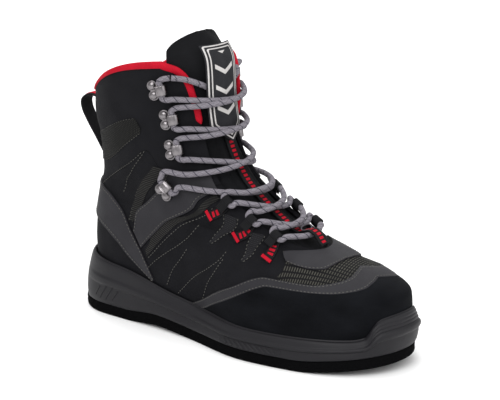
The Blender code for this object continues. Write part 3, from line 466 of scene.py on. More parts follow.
def last_points(w, ring):
    """Points of the last's surface, x still measured from the back of the heel."""
    w = (w + 1) % 2 - 1
    columns = Ring(*(smooth(RING_LEVELS, RING_TABLE[:, k], ring) for k in range(len(Ring._fields))))
    front = columns.front_x * LAST_LENGTH
    back = columns.back_x * LAST_LENGTH
    widths = [BALL_HALF * half for half in (columns.heel, columns.waist, columns.ball, columns.toe)]
    x, y, q = plan(w, front, back, widths)
    front_z = columns.front_z * COLLAR_FRONT
    back_z = columns.back_z * COLLAR_BACK
    climb = (1 - (1 - q) ** columns.rise) ** (1 + RISE_EASE * (columns.rise - 1))
    z = back_z + (front_z - back_z) * climb
    fade = np.clip(1 - ring / BED_FADE, 0.0, 1.0)
    fade = fade * fade * (3 - 2 * fade)
    bed_line = footbed(back) + (footbed(front) - footbed(back)) * q
    z = z + fade * (footbed(x) - bed_line)
    return np.stack([x, y, z], axis=-1)


def at(w, ring, offset=0.0):
    """Points at a distance outside the last's surface, in the boot's frame."""
    w, ring, offset = np.broadcast_arrays(np.asarray(w, float), np.asarray(ring, float), offset)
    shape = w.shape
    w, ring = w.ravel(), ring.ravel()
    points = last_points(w, ring)
    ahead = last_points(w + 0.002, ring) - last_points(w - 0.002, ring)
    top = RING_LEVELS[-1]
    above = last_points(w, np.clip(ring + 0.022, 0, top)) - last_points(w, np.clip(ring - 0.022, 0, top))
    normal = np.cross(above, ahead)
    normal /= np.linalg.norm(normal, axis=1, keepdims=True)
    points = points + normal * offset.reshape(-1, 1)
    points[:, 0] -= HEEL_CENTRE
    return points.reshape(shape + (3,))


def relief(w, ring):
    """How far the sewn upper stands off the last: collar padding, soft folds and the medial flap."""
    side_w = np.abs(w)
    swell = np.sin(math.pi * ramp(ring, *PADDING_RINGS))
    height = COLLAR_PADDING * swell * (1 - ramp(side_w, *PADDING_FRONT))
    for fold in FOLDS:
        across = (side_w - fold.w) / fold.long_w
        up = (ring - fold.ring) / fold.across_ring / 3
        turned = across * math.cos(fold.turn) + up * math.sin(fold.turn)
        other = (up * math.cos(fold.turn) - across * math.sin(fold.turn)) * 3
        height = height + fold.depth * np.exp(-(turned**2) - other**2)
    opened = ramp(w, *FLARE_W) * ramp(ring, *FLARE_RINGS)
    return height + MEDIAL_FLARE * opened * opened * (3 - 2 * opened)


def skin(w, ring, lift=0.0):
    """Points over the sewn upper."""
    w, ring, lift = np.broadcast_arrays(np.asarray(w, float), np.asarray(ring, float), lift)
    return at(w, ring, lift + relief(w, ring))


def bisect(low, high, above, steps=36):
    """Where above() turns true between low and high, for each column."""
    for _ in range(steps):
        middle = (low + high) / 2
        past = above(middle)
        high = np.where(past, middle, high)
        low = np.where(past, low, middle)
    return (low + high) / 2


def ring_at(w, height):
    """The ring on the last where it reaches height(x)."""
    w = np.asarray(w, float)

    def above(ring):
        points = last_points(w, ring)
        return points[:, 2] > height(points[:, 0])

    return bisect(np.zeros_like(w), np.full_like(w, 6.6), above)


def w_at_half(rings, halves, side):
    """|w| in front where the last is a given half-width wide, at each ring."""

    def inside(w):
        points = last_points(side * w, rings)
        centre = last_points(np.ones_like(w), rings)
        return side * (points[:, 1] - centre[:, 1]) < halves

    return bisect(np.full_like(rings, 0.4), np.ones_like(rings), inside)


def throat_edge(rings):
    """|w| of the throat's edge at each ring, lateral and medial."""
    rings = np.asarray(rings, float)
    gap = BALL_HALF * table_at(THROAT, rings)
    edges = [w_at_half(rings, gap, side) for side in (LATERAL, MEDIAL)]
    return [np.where(rings <= THROAT[0][0], 1.0, edge) for edge in edges]


def front_grid(rings, halves, count, aside=0.0):
    """w of a grid across the front, from the lateral side to the medial side."""
    columns = []
    for share in np.linspace(-1, 1, count):
        reach = share * halves - aside
        found = [w_at_half(rings, np.abs(reach), side) for side in (LATERAL, MEDIAL)]
        columns.append(np.where(reach > 0, found[1], np.where(reach < 0, -found[0], 1.0)))
    return np.stack(columns, axis=1)


def sole_outline(w, inset=0.0):
    """Plan points of the sole's edge, x from the back of the heel."""
    widths = [BALL_HALF * share - inset for share in (SOLE.heel, SOLE.waist, SOLE.ball, SOLE.toe)]
    front = SOLE.front_x * LAST_LENGTH - inset
    back = SOLE.back_x * LAST_LENGTH + inset
    x, y, _ = plan((w + 1) % 2 - 1, front, back, widths)
    return x, y


def sole_loop(w, height, inset=0.0):
    """A loop round the sole's edge at a height that follows x."""
    x, y = sole_outline(w, inset)
    return np.stack([x - HEEL_CENTRE, y, height(x)], axis=-1)


def select_only(obj):
    bpy.ops.object.select_all(action="DESELECT")
    obj.select_set(True)
    bpy.context.view_layer.objects.active = obj


def in_edit(obj, *steps):
    """Run edit mode operators on the whole of one object."""
    select_only(obj)
    bpy.ops.object.mode_set(mode="EDIT")
    bpy.ops.mesh.select_all(action="SELECT")
    for step in steps:
        step()
    bpy.ops.object.mode_set(mode="OBJECT")


def apply_all(obj):
    select_only(obj)
    for modifier in list(obj.modifiers):
        bpy.ops.object.modifier_apply(modifier=modifier.name)


def lengths_along(points, axis):
    step = np.linalg.norm(np.diff(points, axis=axis), axis=-1)
    start = np.zeros_like(np.take(step, [0], axis=axis))
    return np.concatenate([start, np.cumsum(step, axis=axis)], axis=axis)


def drape(name, points, outside=None, uv=None, stored=None):
    """A grid primitive laid over rows of points, its UV map in metres. outside lies off its face."""
    rows, columns = points.shape[:2]
    bpy.ops.object.select_all(action="DESELECT")
    bpy.ops.mesh.primitive_grid_add(x_subdivisions=columns - 1, y_subdivisions=rows - 1, size=2)
    obj = bpy.context.active_object
    obj.name = name
    mesh = obj.data
    mesh.name = name
    flat = np.empty(len(mesh.vertices) * 3)
    mesh.vertices.foreach_get("co", flat)
    flat = flat.reshape(-1, 3)
    column = np.rint((flat[:, 0] + 1) / 2 * (columns - 1)).astype(int)
    row = np.rint((flat[:, 1] + 1) / 2 * (rows - 1)).astype(int)
    mesh.vertices.foreach_set("co", points[row, column].ravel())
    if uv is None:
        across = lengths_along(points, 1)
        across = across - across[:, columns // 2][:, None]
        uv = np.stack([across, lengths_along(points, 0)], axis=-1)
    corner = np.empty(len(mesh.loops), np.int32)
    mesh.loops.foreach_get("vertex_index", corner)
    mesh.uv_layers.active.data.foreach_set("uv", uv[row, column][corner].ravel())
    for label, values in (stored or {}).items():
        attribute = mesh.attributes.new(label, "FLOAT", "POINT")
        attribute.data.foreach_set("value", values[row, column])
    mesh.update()
    if outside is not None:
        r, c = rows // 2, columns // 3
        normal = np.cross(points[r, c + 1] - points[r, c], points[r + 1, c] - points[r, c])
        if np.dot(normal, outside[r, c] - points[r, c]) < 0:
            mesh.flip_normals()
    return obj


def merge(obj):
    in_edit(obj, lambda: bpy.ops.mesh.remove_doubles(threshold=MERGE_DISTANCE))
    return obj


def closed(obj):
    """Merge a draped piece's seams and turn its faces out."""
    in_edit(
        obj,
        lambda: bpy.ops.mesh.remove_doubles(threshold=MERGE_DISTANCE),
        lambda: bpy.ops.mesh.normals_make_consistent(inside=False),
    )
    return obj


def soften(obj, width, segments, angle=SHARP_EDGE):
    """Round a piece's sharp edges."""
    bevel = obj.modifiers.new("edge", "BEVEL")
    bevel.width = width
    bevel.segments = segments
    bevel.limit_method = "ANGLE"
    bevel.angle_limit = math.radians(angle)


def wall(obj, thickness, offset=1.0, inner=0, edge=0.0, even=True):
    """Give an open piece its thickness and soften its cut edge."""
    solid = obj.modifiers.new("wall", "SOLIDIFY")
    solid.thickness = thickness
    solid.offset = offset
    solid.use_even_offset = even
    solid.use_rim = True
    solid.material_offset = inner
    if edge:
        soften(obj, edge, 2)
    apply_all(obj)
    return obj


def dress(obj, materials, replaced=()):
    """Finish a piece: its materials, smooth faces, its body and the solids that it stands for."""
    for material in materials if isinstance(materials, (list, tuple)) else [materials]:
        obj.data.materials.append(material)
    select_only(obj)
    bpy.ops.object.shade_smooth_by_angle(angle=math.radians(SMOOTH_ANGLE))
    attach(obj, "root")
    if replaced:
        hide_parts(*replaced)
    return obj


def joined(name, objects):
    """Several objects made one mesh."""
    bpy.ops.object.select_all(action="DESELECT")
    for obj in objects:
        obj.select_set(True)
    bpy.context.view_layer.objects.active = objects[0]
    bpy.ops.object.join()
    objects[0].name = name
    objects[0].data.name = name
    return objects[0]


def from_table(table, count, mirror=True):
    """Edge rows as smooth columns: w and ring of both edges, round the back when mirrored."""
    rows = np.array(table, float)
    reach = np.linspace(0, 1, count)
    stations = np.linspace(0, 1, len(rows))
    columns = [smooth(stations, rows[:, k], reach) for k in range(4)]
    if mirror:
        columns = [
            np.concatenate([sign * column[:0:-1], column])
            for sign, column in zip((-1, 1, -1, 1), columns)
        ]
    return columns


def between(edges, rows):
    w_low, low, w_high, high = edges
    shares = np.linspace(0, 1, rows)[:, None]
    return w_low + (w_high - w_low) * shares, low + (high - low) * shares


def band_edges(table, count):
    """A band over the toe as edge columns, lateral side round the front to the medial side."""
    rows = np.array(table, float)
    w = np.linspace(rows[0, 0], 1.0, count)
    low, high = (smooth(rows[:, 0], rows[:, k], w) for k in (1, 2))
    w = np.concatenate([-w, w[-2::-1]])
    low, high = (np.concatenate([edge, edge[-2::-1]]) for edge in (low, high))
    return w, low, w, high


def clear_of_cup(edges, margin=0.0006):
    """Edges of a panel with the lower one kept just behind the midsole's lip."""
    w_low, low, w_high, high = edges
    low = np.maximum(low, ring_at(w_low, lambda x: cup_top(x) - margin))
    return w_low, low, w_high, np.maximum(high, low + 0.02)


def panel(name, edges, rows, lift, thickness, edge=0.0003):
    """A sewn panel that hugs the upper."""
    w, ring = between(clear_of_cup(edges), rows)
    obj = drape(name, skin(w, ring, lift), skin(w, ring, lift + 0.001))
    return wall(obj, thickness, 1.0, edge=edge, even=False)


def polyline(points, step):
    """Evenly spaced points and directions on a smooth line."""
    points = np.asarray(points, float)
    length = lengths_along(points[:, None], 0)[:, 0]
    count = max(2, int(length[-1] / step))
    places = (np.arange(count) + 0.5) * length[-1] / count
    line = np.stack([np.interp(places, length, points[:, k]) for k in range(3)], axis=-1)
    ahead = np.gradient(line, axis=0)
    return line, ahead / np.linalg.norm(ahead, axis=1, keepdims=True)


def line_on_skin(table, lift, side, count=60):
    rows = np.array(table, float)
    reach = np.linspace(0, 1, count)
    stations = np.linspace(0, 1, len(rows))
    w, ring = (smooth(stations, rows[:, k], reach) for k in (0, 1))
    return skin(side * w, ring, lift)


def thread_mesh():
    """One stitch: a low rounded bead, lying along X."""
    bpy.ops.object.select_all(action="DESELECT")
    bpy.ops.mesh.primitive_uv_sphere_add(segments=6, ring_count=4, radius=1.0)
    obj = bpy.context.active_object
    laid = {"value": math.pi / 2, "orient_axis": "Y", "center_override": (0, 0, 0)}
    in_edit(obj, lambda: bpy.ops.transform.rotate(**laid))
    points = np.array([vertex.co for vertex in obj.data.vertices])
    faces = [list(face.vertices) for face in obj.data.polygons]
    bpy.data.objects.remove(obj, do_unlink=True)
    return points, faces


def stitched(name, lines, normals_from, size):
    """Many stitches along lines, as one mesh. normals_from is a point inside the boot."""
    bead, faces = thread_mesh()
    all_points, all_faces = [], []
    for line in lines:
        middle, ahead = polyline(line, size.length + size.gap)
        out = middle - normals_from(middle)
        out -= ahead * np.sum(out * ahead, axis=1, keepdims=True)
        out /= np.linalg.norm(out, axis=1, keepdims=True)
        across = np.cross(out, ahead)
        for place, x, y, z in zip(middle, ahead, across, out):
            base = len(all_points) * len(bead)
            shaped = bead * (size.length / 2, size.radius * 1.1, size.radius)
            all_points.append(place + shaped @ np.stack([x, y, z]))
            all_faces += [[base + i for i in face] for face in faces]
    mesh = bpy.data.meshes.new(name)
    mesh.from_pydata(np.concatenate(all_points).tolist(), [], all_faces)
    obj = bpy.data.objects.new(name, mesh)
    bpy.context.scene.collection.objects.link(obj)
    return obj


def inner_line(points):
    """A point inside the boot level with each point, to tell which way is out."""
    inner = points.copy()
    inner[:, 1] = middle_y(points[:, 0] + HEEL_CENTRE)
    inner[:, 0] = np.clip(points[:, 0], 0.0, 0.215) * 0.7 + 0.012
    inner[:, 2] = np.minimum(points[:, 2] - 0.012, 0.20)
    return inner


def spline(points, per=8):
    """A smooth line through points, with points added between them."""
    points = np.asarray(points, float)
    before = np.concatenate([2 * points[:1] - points[1:2], points[:-1]])
    after = np.concatenate([points[1:], 2 * points[-1:] - points[-2:-1]])
    tangent = (after - before) / 2
    out = []
    for i in range(len(points) - 1):
        for t in np.arange(per) / per:
            out.append(
                points[i] * (2 * t**3 - 3 * t**2 + 1) + tangent[i] * (t**3 - 2 * t**2 + t)
                + points[i + 1] * (3 * t**2 - 2 * t**3) + tangent[i + 1] * (t**3 - t**2)
            )
    return np.array(out + [points[-1]])


def sweep(name, path, profile, across=None, around=None, stored=None):
    """A closed body that carries a closed profile along a path. UV: around the profile, metres along.

    Profile points are distances along across and along the normal that goes with it.
    """
    path = np.asarray(path, float)
    ahead = np.gradient(path, axis=0)
    ahead /= np.linalg.norm(ahead, axis=1, keepdims=True)
    if across is None:
        side = np.cross(ahead[0], (0.31, 0.22, 0.92))
        sides = []
        for direction in ahead:
            side = side - direction * side.dot(direction)
            side = side / np.linalg.norm(side)
            sides.append(side)
        sides = np.array(sides)
    else:
        sides = np.broadcast_to(np.asarray(across, float), path.shape)
        sides = sides - ahead * np.sum(sides * ahead, axis=1, keepdims=True)
        sides = sides / np.linalg.norm(sides, axis=1, keepdims=True)
    normals = np.cross(sides, ahead)
    loop = np.array([*profile, profile[0]], float)
    rings = path[:, None] + loop[None, :, :1] * sides[:, None] + loop[None, :, 1:] * normals[:, None]
    middle = rings[:, :-1].mean(axis=1, keepdims=True)
    ends = []
    for which in (0, -1):
        ends.append([middle[which] + (rings[which] - middle[which]) * share for share in (0.0, 0.9)])
    points = np.concatenate([ends[0], rings, ends[1][::-1]])
    lengths = lengths_along(path[:, None], 0)[:, 0]
    lengths = np.concatenate([lengths[:1], lengths[:1], lengths, lengths[-1:], lengths[-1:]])
    turns = loop[:, 0] if around is None else np.asarray(around, float)
    uv = np.stack(np.broadcast_arrays(turns, lengths[:, None]), axis=-1)
    marks = {label: np.broadcast_to(values, uv.shape[:2]) for label, values in (stored or {}).items()}
    return closed(drape(name, points, uv=uv, stored=marks))


def round_profile(radius, sides=14):
    turn = np.arange(sides) * 2 * math.pi / sides
    return np.stack([np.cos(turn), np.sin(turn)], axis=-1) * radius


def round_cord(name, path, radius, sides=14):
    """A round cord. UV: turns and metres."""
    return sweep(name, path, round_profile(radius, sides), around=np.linspace(0, 1, sides + 1))


def tape_profile(half, thickness):
    """Cross-section of a flat tape with soft edges."""
    t = thickness / 2
    corner = half - 0.3 * t
    right = [(half - t, t), (corner, 0.7 * t), (half, 0), (corner, -0.7 * t), (half - t, -t)]
    return right + [(0, -t)] + [(-a, -b) for a, b in right] + [(0, t)]


def shade(code):
    """Linear colour from a web colour code."""
    parts = [int(code[i:i + 2], 16) / 255 for i in (0, 2, 4)]
    return tuple(part / 12.92 if part <= 0.04045 else ((part + 0.055) / 1.055) ** 2.4 for part in parts)


def scaled(colour, share):
    return tuple(min(1.0, part * share) for part in colour[:3])


def tone(name):
    return shade(TONES[name])


class Value:
    """A number in a material's node tree, so that its maths reads as Python."""

    def __init__(self, look, socket):
        self.look = look
        self.socket = socket

    def maths(self, operation, *others):
        sockets = dict(enumerate([self, *others]))
        return self.look.node("ShaderNodeMath", {"operation": operation}, sockets)

    def turned(self, operation, other):
        return self.look.node("ShaderNodeMath", {"operation": operation}, {0: other, 1: self})

    def __add__(self, other):
        return self.maths("ADD", other)

    def __sub__(self, other):
        return self.maths("SUBTRACT", other)

    def __mul__(self, other):
        return self.maths("MULTIPLY", other)

    def __truediv__(self, other):
        return self.maths("DIVIDE", other)

    def __pow__(self, other):
        return self.maths("POWER", other)

    def __rsub__(self, other):
        return self.turned("SUBTRACT", other)

    def __rtruediv__(self, other):
        return self.turned("DIVIDE", other)

    __radd__ = __add__
    __rmul__ = __mul__

    def __abs__(self):
        return self.maths("ABSOLUTE")

    def wave(self, pitch):
        """A sine wave of this pitch, from -1 to 1."""
        return (self * (math.tau / pitch)).maths("SINE")

    def share(self, pitch):
        """How far through each pitch, from 0 to 1."""
        return (self / pitch).maths("FRACT")

    def above(self, edge, soft):
        """1 above the edge and 0 below it, over a soft width."""
        return ((self - edge) / soft + 0.5).limited()

    def limited(self):
        return self.maths("MINIMUM", 1.0).maths("MAXIMUM", 0.0)


class Look:
    """A Principled material and the nodes that feed it."""

    def __init__(self, name, specular=0.1, **constants):
        self.material = bpy.data.materials.new("dressed_" + name)
        self.material.use_nodes = True
        self.tree = self.material.node_tree
        self.shader = self.tree.nodes["Principled BSDF"]
        self.shader.inputs["Specular IOR Level"].default_value = specular
        for label, value in constants.items():
            self.shader.inputs[label.replace("_", " ")].default_value = value

    def feed(self, socket, value):
        if isinstance(value, Value):
            self.tree.links.new(value.socket, socket)
        elif hasattr(value, "__len__") and len(value) == 3 and socket.type == "RGBA":
            socket.default_value = (*value, 1.0)
        else:
            socket.default_value = value

    def node(self, kind, settings=None, sockets=None, output=0):
        """Any node: its settings first, then its sockets by name or number."""
        made = self.tree.nodes.new(kind)
        for key, value in (settings or {}).items():
            setattr(made, key, value)
        for key, value in (sockets or {}).items():
            self.feed(made.inputs[key], value)
        return Value(self, made.outputs[output])

    def coordinates(self, kind):
        return self.node("ShaderNodeTexCoord", output={"UV": 2, "Object": 3}[kind])

    def split(self, kind):
        parts = self.tree.nodes.new("ShaderNodeSeparateXYZ")
        self.feed(parts.inputs[0], self.coordinates(kind))
        return [Value(self, socket) for socket in parts.outputs]

    def place(self):
        """Metres along the boot, to the medial side and up."""
        return self.split("Object")

    def map(self):
        """The piece's own map, in metres across and along."""
        return self.split("UV")[:2]

    def stored(self, name):
        """A number stored on the piece's points."""
        return self.node("ShaderNodeAttribute", {"attribute_name": name}, output=2)

    def noise(self, scale, detail=3.0, stretch=None):
        """Cloudy noise from 0 to 1, on object coordinates."""
        place = self.coordinates("Object")
        if stretch:
            place = self.node("ShaderNodeVectorMath", {"operation": "MULTIPLY"}, {0: place, 1: stretch})
        sockets = {"Vector": place, "Scale": scale, "Detail": detail}
        return self.node("ShaderNodeTexNoise", sockets=sockets)

    def cells(self, scale):
        """Distance to the nearest of scattered points."""
        sockets = {"Vector": self.coordinates("Object"), "Scale": scale}
        return self.node("ShaderNodeTexVoronoi", sockets=sockets)

    def mixed(self, factor, low, high):
        """A colour between two others."""
        return self.node("ShaderNodeMix", {"data_type": "RGBA"}, {0: factor, 6: low, 7: high}, output=2)

    def finished(self, colour, roughness=None, height=None, depth=0.0):
        """Feed the shader, with the height in shares of the depth in metres."""
        self.feed(self.shader.inputs["Base Color"], colour)
        if roughness is not None:
            self.feed(self.shader.inputs["Roughness"], roughness)
        if height is not None:
            sockets = {"Strength": 1.0, "Distance": depth, "Height": height}
            self.feed(self.shader.inputs["Normal"], self.node("ShaderNodeBump", sockets=sockets))
        return self.material


def weave(u, v, pitch):
    """Height of a plain weave whose threads lie along the map."""
    return u.wave(pitch) * v.wave(pitch)


def cloth(name, dark, light, pitch, depth):
    """Plain woven cloth in soft patches of tone."""
    look = Look(name)
    u, v = look.map()
    threads = weave(u, v, pitch)
    patch = look.noise(55.0, 4.0) - 0.5
    level = (threads * 0.22 + patch + 0.45).limited()
    height = threads * 0.5 + look.noise(1400.0, 2.0)
    colour = look.mixed(level, shade(dark), shade(light))
    return look.finished(colour, 0.85 - patch * 0.2, height, depth)


def upper_cloth():
    """Smooth collar cloth over a coarser nylon body, with the sewn seam between them."""
    look = Look("upper_cloth")
    u, v = look.map()
    seam = look.stored("seam")
    body = seam.above(0.0, 0.0003)
    body_threads = weave(u, v, 0.0011)
    collar_threads = weave(u, v, 0.0007)
    patch = look.noise(60.0, 4.0) - 0.5
    groove = 1 - (abs(seam) / 0.0006).limited()
    colours = bpy.context.scene.boot_colours
    dark = look.mixed(body, scaled(colours.collar, 0.80), scaled(colours.body, 0.75))
    light = look.mixed(body, scaled(colours.collar, 1.25), scaled(colours.body, 1.45))
    threads = body_threads * body + collar_threads * (1 - body) * 0.4
    level = (threads * 0.3 + patch * 0.9 + 0.45).limited()
    colour = look.mixed(groove * 0.8, look.mixed(level, dark, light), tone("groove"))
    height = threads * 0.5 + look.noise(1300.0, 2.0) * 0.6 - groove * 2.5
    return look.finished(colour, 0.82 - patch * 0.2, height, 0.00016)


def ribbed(name, dark, light, pitch, cross=0.0):
    """Cloth with raised ribs along the piece, and finer ribs the other way where cross is given."""
    look = Look(name)
    u, v = look.map()
    ribs = u.wave(pitch) * 0.5 + 0.5
    if cross:
        ribs = ribs * (v.wave(cross) * 0.35 + 0.65)
    patch = look.noise(80.0, 3.0)
    level = (ribs ** 2.0) * (patch * 0.7 + 0.35)
    height = ribs + look.noise(1500.0, 2.0) * 0.2
    return look.finished(look.mixed(level, shade(dark), shade(light)), 0.8, height, 0.0004)


def synthetic():
    """Matt coated microfibre of the straps: fine pebbled grain, paler where it is rubbed."""
    look = Look("grey_synthetic", 0.22)
    colours = bpy.context.scene.boot_colours
    grain = look.cells(1500.0)
    patch = look.noise(45.0, 5.0) - 0.5
    fine = look.noise(900.0, 2.0) - 0.5
    level = (0.5 + patch * 1.1 + fine * 0.5).limited()
    colour = look.mixed(level, scaled(colours.strap, 0.78), scaled(colours.strap, 1.28))
    return look.finished(colour, 0.62 - patch * 0.25, grain + fine * 0.5, 0.00009)


def nubuck():
    """Black napped rand over the toe, its nap brushed in soft patches."""
    look = Look("black_rand", 0.06)
    nap = look.noise(28.0, 6.0, (1.0, 1.0, 1.8)) - 0.5
    fibre = look.noise(2200.0, 2.0)
    colours = bpy.context.scene.boot_colours
    level = (0.42 + nap * 1.5 + (fibre - 0.5) * 0.5).limited()
    colour = look.mixed(level, scaled(colours.rand, 0.55), scaled(colours.rand, 1.6))
    return look.finished(colour, 0.88 - nap * 0.25, fibre + look.cells(900.0) * 0.5, 0.00014)


def rubber():
    """Moulded rubber: a satin skin with a light dust of scuffs."""
    look = Look("grey_rubber", 0.25)
    colours = bpy.context.scene.boot_colours
    patch = look.noise(35.0, 5.0) - 0.5
    fine = look.noise(700.0, 3.0)
    scuff = (look.noise(160.0, 6.0, (1.0, 1.0, 4.0)).above(0.66, 0.08)) * 0.35
    level = (0.45 + patch * 0.9 + scuff).limited()
    colour = look.mixed(level, scaled(colours.rubber, 0.78), scaled(colours.rubber, 1.35))
    return look.finished(colour, 0.55 + patch * 0.2 + scuff * 0.3, fine, 0.00010)


def felt():
    """Pressed felt: tangled fibres, with a few pale ones."""
    look = Look("felt", 0.02)
    tangle = look.noise(420.0, 6.0, (1.0, 1.0, 3.2))
    lumps = look.noise(110.0, 4.0)
    pale = look.noise(1500.0, 3.0, (1.0, 1.0, 3.0)).above(0.66, 0.06)
    colours = bpy.context.scene.boot_colours
    level = (tangle * 0.6 + pale * 0.35).limited()
    colour = look.mixed(level, scaled(colours.felt, 0.5), scaled(colours.felt, 2.2))
    return look.finished(colour, 0.95, tangle + lumps * 0.8, 0.0009)


def vamp_net():
    """Dark open net over the forefoot, with rows of pale diagonal threads."""
    look = Look("vamp_net")
    x, y, _ = look.place()
    threads = ((x + y * 0.22).wave(0.0021) * 0.5 + 0.5) ** 2.0
    dots = (y - x * 0.35).wave(0.0043).above(-0.5, 0.7)
    patch = look.noise(90.0, 3.0)
    level = (threads * dots * (patch * 0.8 + 0.35)).limited()
    colour = look.mixed(level, tone("net"), tone("net thread"))
    return look.finished(colour, 0.85, threads * dots, 0.0004)


def red_tape():
    """Ribbed red tape."""
    look = Look("red_binding")
    colours = bpy.context.scene.boot_colours
    _, v = look.map()
    ribs = v.wave(0.0012) * 0.5 + 0.5
    patch = look.noise(120.0, 3.0) - 0.5
    level = (ribs * 0.35 + patch + 0.4).limited()
    colour = look.mixed(level, scaled(colours.accent, 0.62), scaled(colours.accent, 1.12))
    return look.finished(colour, 0.72, ribs + look.noise(1500.0, 2.0) * 0.5, 0.00012)


def lining():
    """Red knitted lining of the collar."""
    look = Look("red_lining")
    colours = bpy.context.scene.boot_colours
    u, v = look.map()
    knit = weave(u, v, 0.0016)
    patch = look.noise(70.0, 3.0) - 0.5
    level = (knit * 0.3 + patch + 0.4).limited()
    # Painted shade: the accent red is scaled down to 0.35 to 0.8 here, against 0.62 to 1.12 on the tape
    colour = look.mixed(level, scaled(colours.accent, 0.35), scaled(colours.accent, 0.8))
    return look.finished(colour, 0.85, knit, 0.0003)


def webbing_cloth():
    """Black webbing with lengthwise ribs and a ladder of red bars down its middle."""
    look = Look("black_webbing")
    colours = bpy.context.scene.boot_colours
    u, v = look.map()
    ribs = u.wave(0.0013) * 0.5 + 0.5
    weft = v.wave(0.0011) * 0.5 + 0.5
    base = look.mixed((ribs * weft * 0.8).limited(), tone("webbing"), tone("webbing rib"))
    bars = v.share(LADDER_PITCH).above(0.42, 0.08) * (1 - abs(u).above(0.0023, 0.0003))
    mask = bars * look.stored("ladder").above(0.5, 0.1)
    red = look.mixed(weft, scaled(colours.accent, 0.7), scaled(colours.accent, 1.1))
    return look.finished(look.mixed(mask, base, red), 0.8, ribs * weft + mask * 0.5, 0.00018)


def pewter():
    """Cast and tumbled metal, darker in its hollows."""
    look = Look("pewter", 0.5, Metallic=1.0)
    colours = bpy.context.scene.boot_colours
    patch = look.noise(300.0, 5.0) - 0.5
    fine = look.noise(1500.0, 3.0)
    level = (0.5 + patch * 1.4).limited()
    colour = look.mixed(level, scaled(colours.metal, 0.6), scaled(colours.metal, 1.2))
    return look.finished(colour, 0.30 + patch * 0.3, fine, 0.00005)


def braid():
    """Round braided cord: crossing strands, and dark slanting flecks."""
    look = Look("lace")
    colours = bpy.context.scene.boot_colours
    turn, along = look.map()
    one = (turn * 8.0 + along / 0.0034).share(1.0)
    two = (turn * 8.0 - along / 0.0034).share(1.0)
    one = 1 - abs(one - 0.5) * 2
    two = 1 - abs(two - 0.5) * 2
    over = (turn * 4.0).wave(1.0) * along.wave(0.0068)
    pick = over.above(0.0, 0.3)
    strands = one * pick + two * (1 - pick)
    slant = (along + turn * 0.0105).share(0.0092)
    fleck = 1 - abs(slant - 0.5).above(0.045, 0.025)
    patch = look.noise(500.0, 3.0) - 0.5
    level = (strands * 0.6 + 0.25 + patch * 0.6).limited()
    grey = look.mixed(level, scaled(colours.lace, 0.5), scaled(colours.lace, 1.25))
    colour = look.mixed(fleck * 0.92, grey, tuple(colours.fleck))
    return look.finished(colour, 0.8, strands + patch * 0.6, 0.0004)


def thread():
    """Waxed sewing thread."""
    look = Look("thread")
    twist = look.noise(2500.0, 2.0)
    colours = bpy.context.scene.boot_colours
    colour = look.mixed(twist, scaled(colours.thread, 0.6), scaled(colours.thread, 1.2))
    return look.finished(colour, 0.6, twist, 0.0001)


def label_cloth():
    """Woven label: charcoal ground, a double pale border and plain pale chevrons."""
    look = Look("label")
    u, v = look.map()
    edge = look.stored("edge")
    outer = edge.above(0.0010, 0.0002) * (1 - edge.above(0.0021, 0.0002))
    inner = edge.above(0.0036, 0.0002) * (1 - edge.above(0.0045, 0.0002))
    inside = edge.above(0.0066, 0.0002)
    chevron = (v - abs(u) * 0.62).share(0.0165)
    chevrons = chevron.above(0.30, 0.02) * (1 - chevron.above(0.52, 0.02)) * inside
    mark = (outer + inner + chevrons).limited()
    threads = weave(u, v, 0.0009)
    level = (threads * 0.3 + look.noise(90.0, 3.0)).limited()
    ground = look.mixed(level, tone("label"), tone("label lit"))
    pale = look.mixed(level, tone("label mark"), tone("label mark lit"))
    return look.finished(look.mixed(mark, ground, pale), 0.75, threads + mark * 1.5, 0.0001)


def footbed_foam():
    """Pricked foam."""
    look = Look("footbed")
    fine = look.cells(700.0)
    patch = look.noise(30.0, 3.0)
    colour = look.mixed(patch, tone("footbed"), tone("footbed lit"))
    return look.finished(colour, 0.9, fine, 0.0003)


def floor_paint():
    look = Look("studio_floor")
    patch = look.noise(1.5, 2.0)
    return look.finished(look.mixed(patch, (0.90, 0.90, 0.90), (0.92, 0.92, 0.92)), 0.9)


# Every finish by its name; the plain cloths with their dark and light tones, thread pitch and depth
MAKERS = {
    "upper_cloth": upper_cloth,
    "tongue_cloth": lambda: cloth("tongue_cloth", "090a0b", "161619", 0.0009, 0.00012),
    "black_lining": lambda: cloth("black_lining", "0b0b0c", "232326", 0.0018, 0.0003),
    "ribbed_patch": lambda: ribbed("ribbed_patch", "101011", "393833", 0.0017, 0.0021),
    "ribbed_strip": lambda: ribbed("ribbed_strip", "101012", "3a3936", 0.0018),
    "dart_cloth": lambda: ribbed("dart_cloth", "18181a", "363539", 0.0016, 0.0016),
    "grey_synthetic": synthetic,
    "black_rand": nubuck,
    "grey_rubber": rubber,
    "felt": felt,
    "vamp_net": vamp_net,
    "red_binding": red_tape,
    "red_lining": lining,
    "black_webbing": webbing_cloth,
    "pewter": pewter,
    "lace": braid,
    "thread": thread,
    "label": label_cloth,
    "footbed": footbed_foam,
    "studio_floor": floor_paint,
}


def finish(name):
    """The named material, made when it is first asked for."""
    return bpy.data.materials.get("dressed_" + name) or MAKERS[name]()


def length_property(label, about, default):
    return bpy.props.FloatProperty(
        name=label, description=about, default=default, subtype="DISTANCE", unit="LENGTH"
    )


class BootSizes(bpy.types.PropertyGroup):
    """Sizes that may be changed before the pieces are made."""

    stitch_length: length_property("Stitch length", "Length of one stitch", STITCH.length)
    stitch_gap: length_property("Stitch gap", "Space between stitches", STITCH.gap)
    stitch_radius: length_property("Thread radius", "Half the thread's width", STITCH.radius)
    lace_radius: length_property("Lace radius", "Half the lace's width", LACE_RADIUS)
    panel_thickness: length_property("Panel thickness", "Thickness of the sewn straps", PANEL_THICKNESS)
    lens: bpy.props.FloatProperty(
        name="Lens", description="Focal length in millimetres", default=CAMERA_LENS, unit="CAMERA"
    )


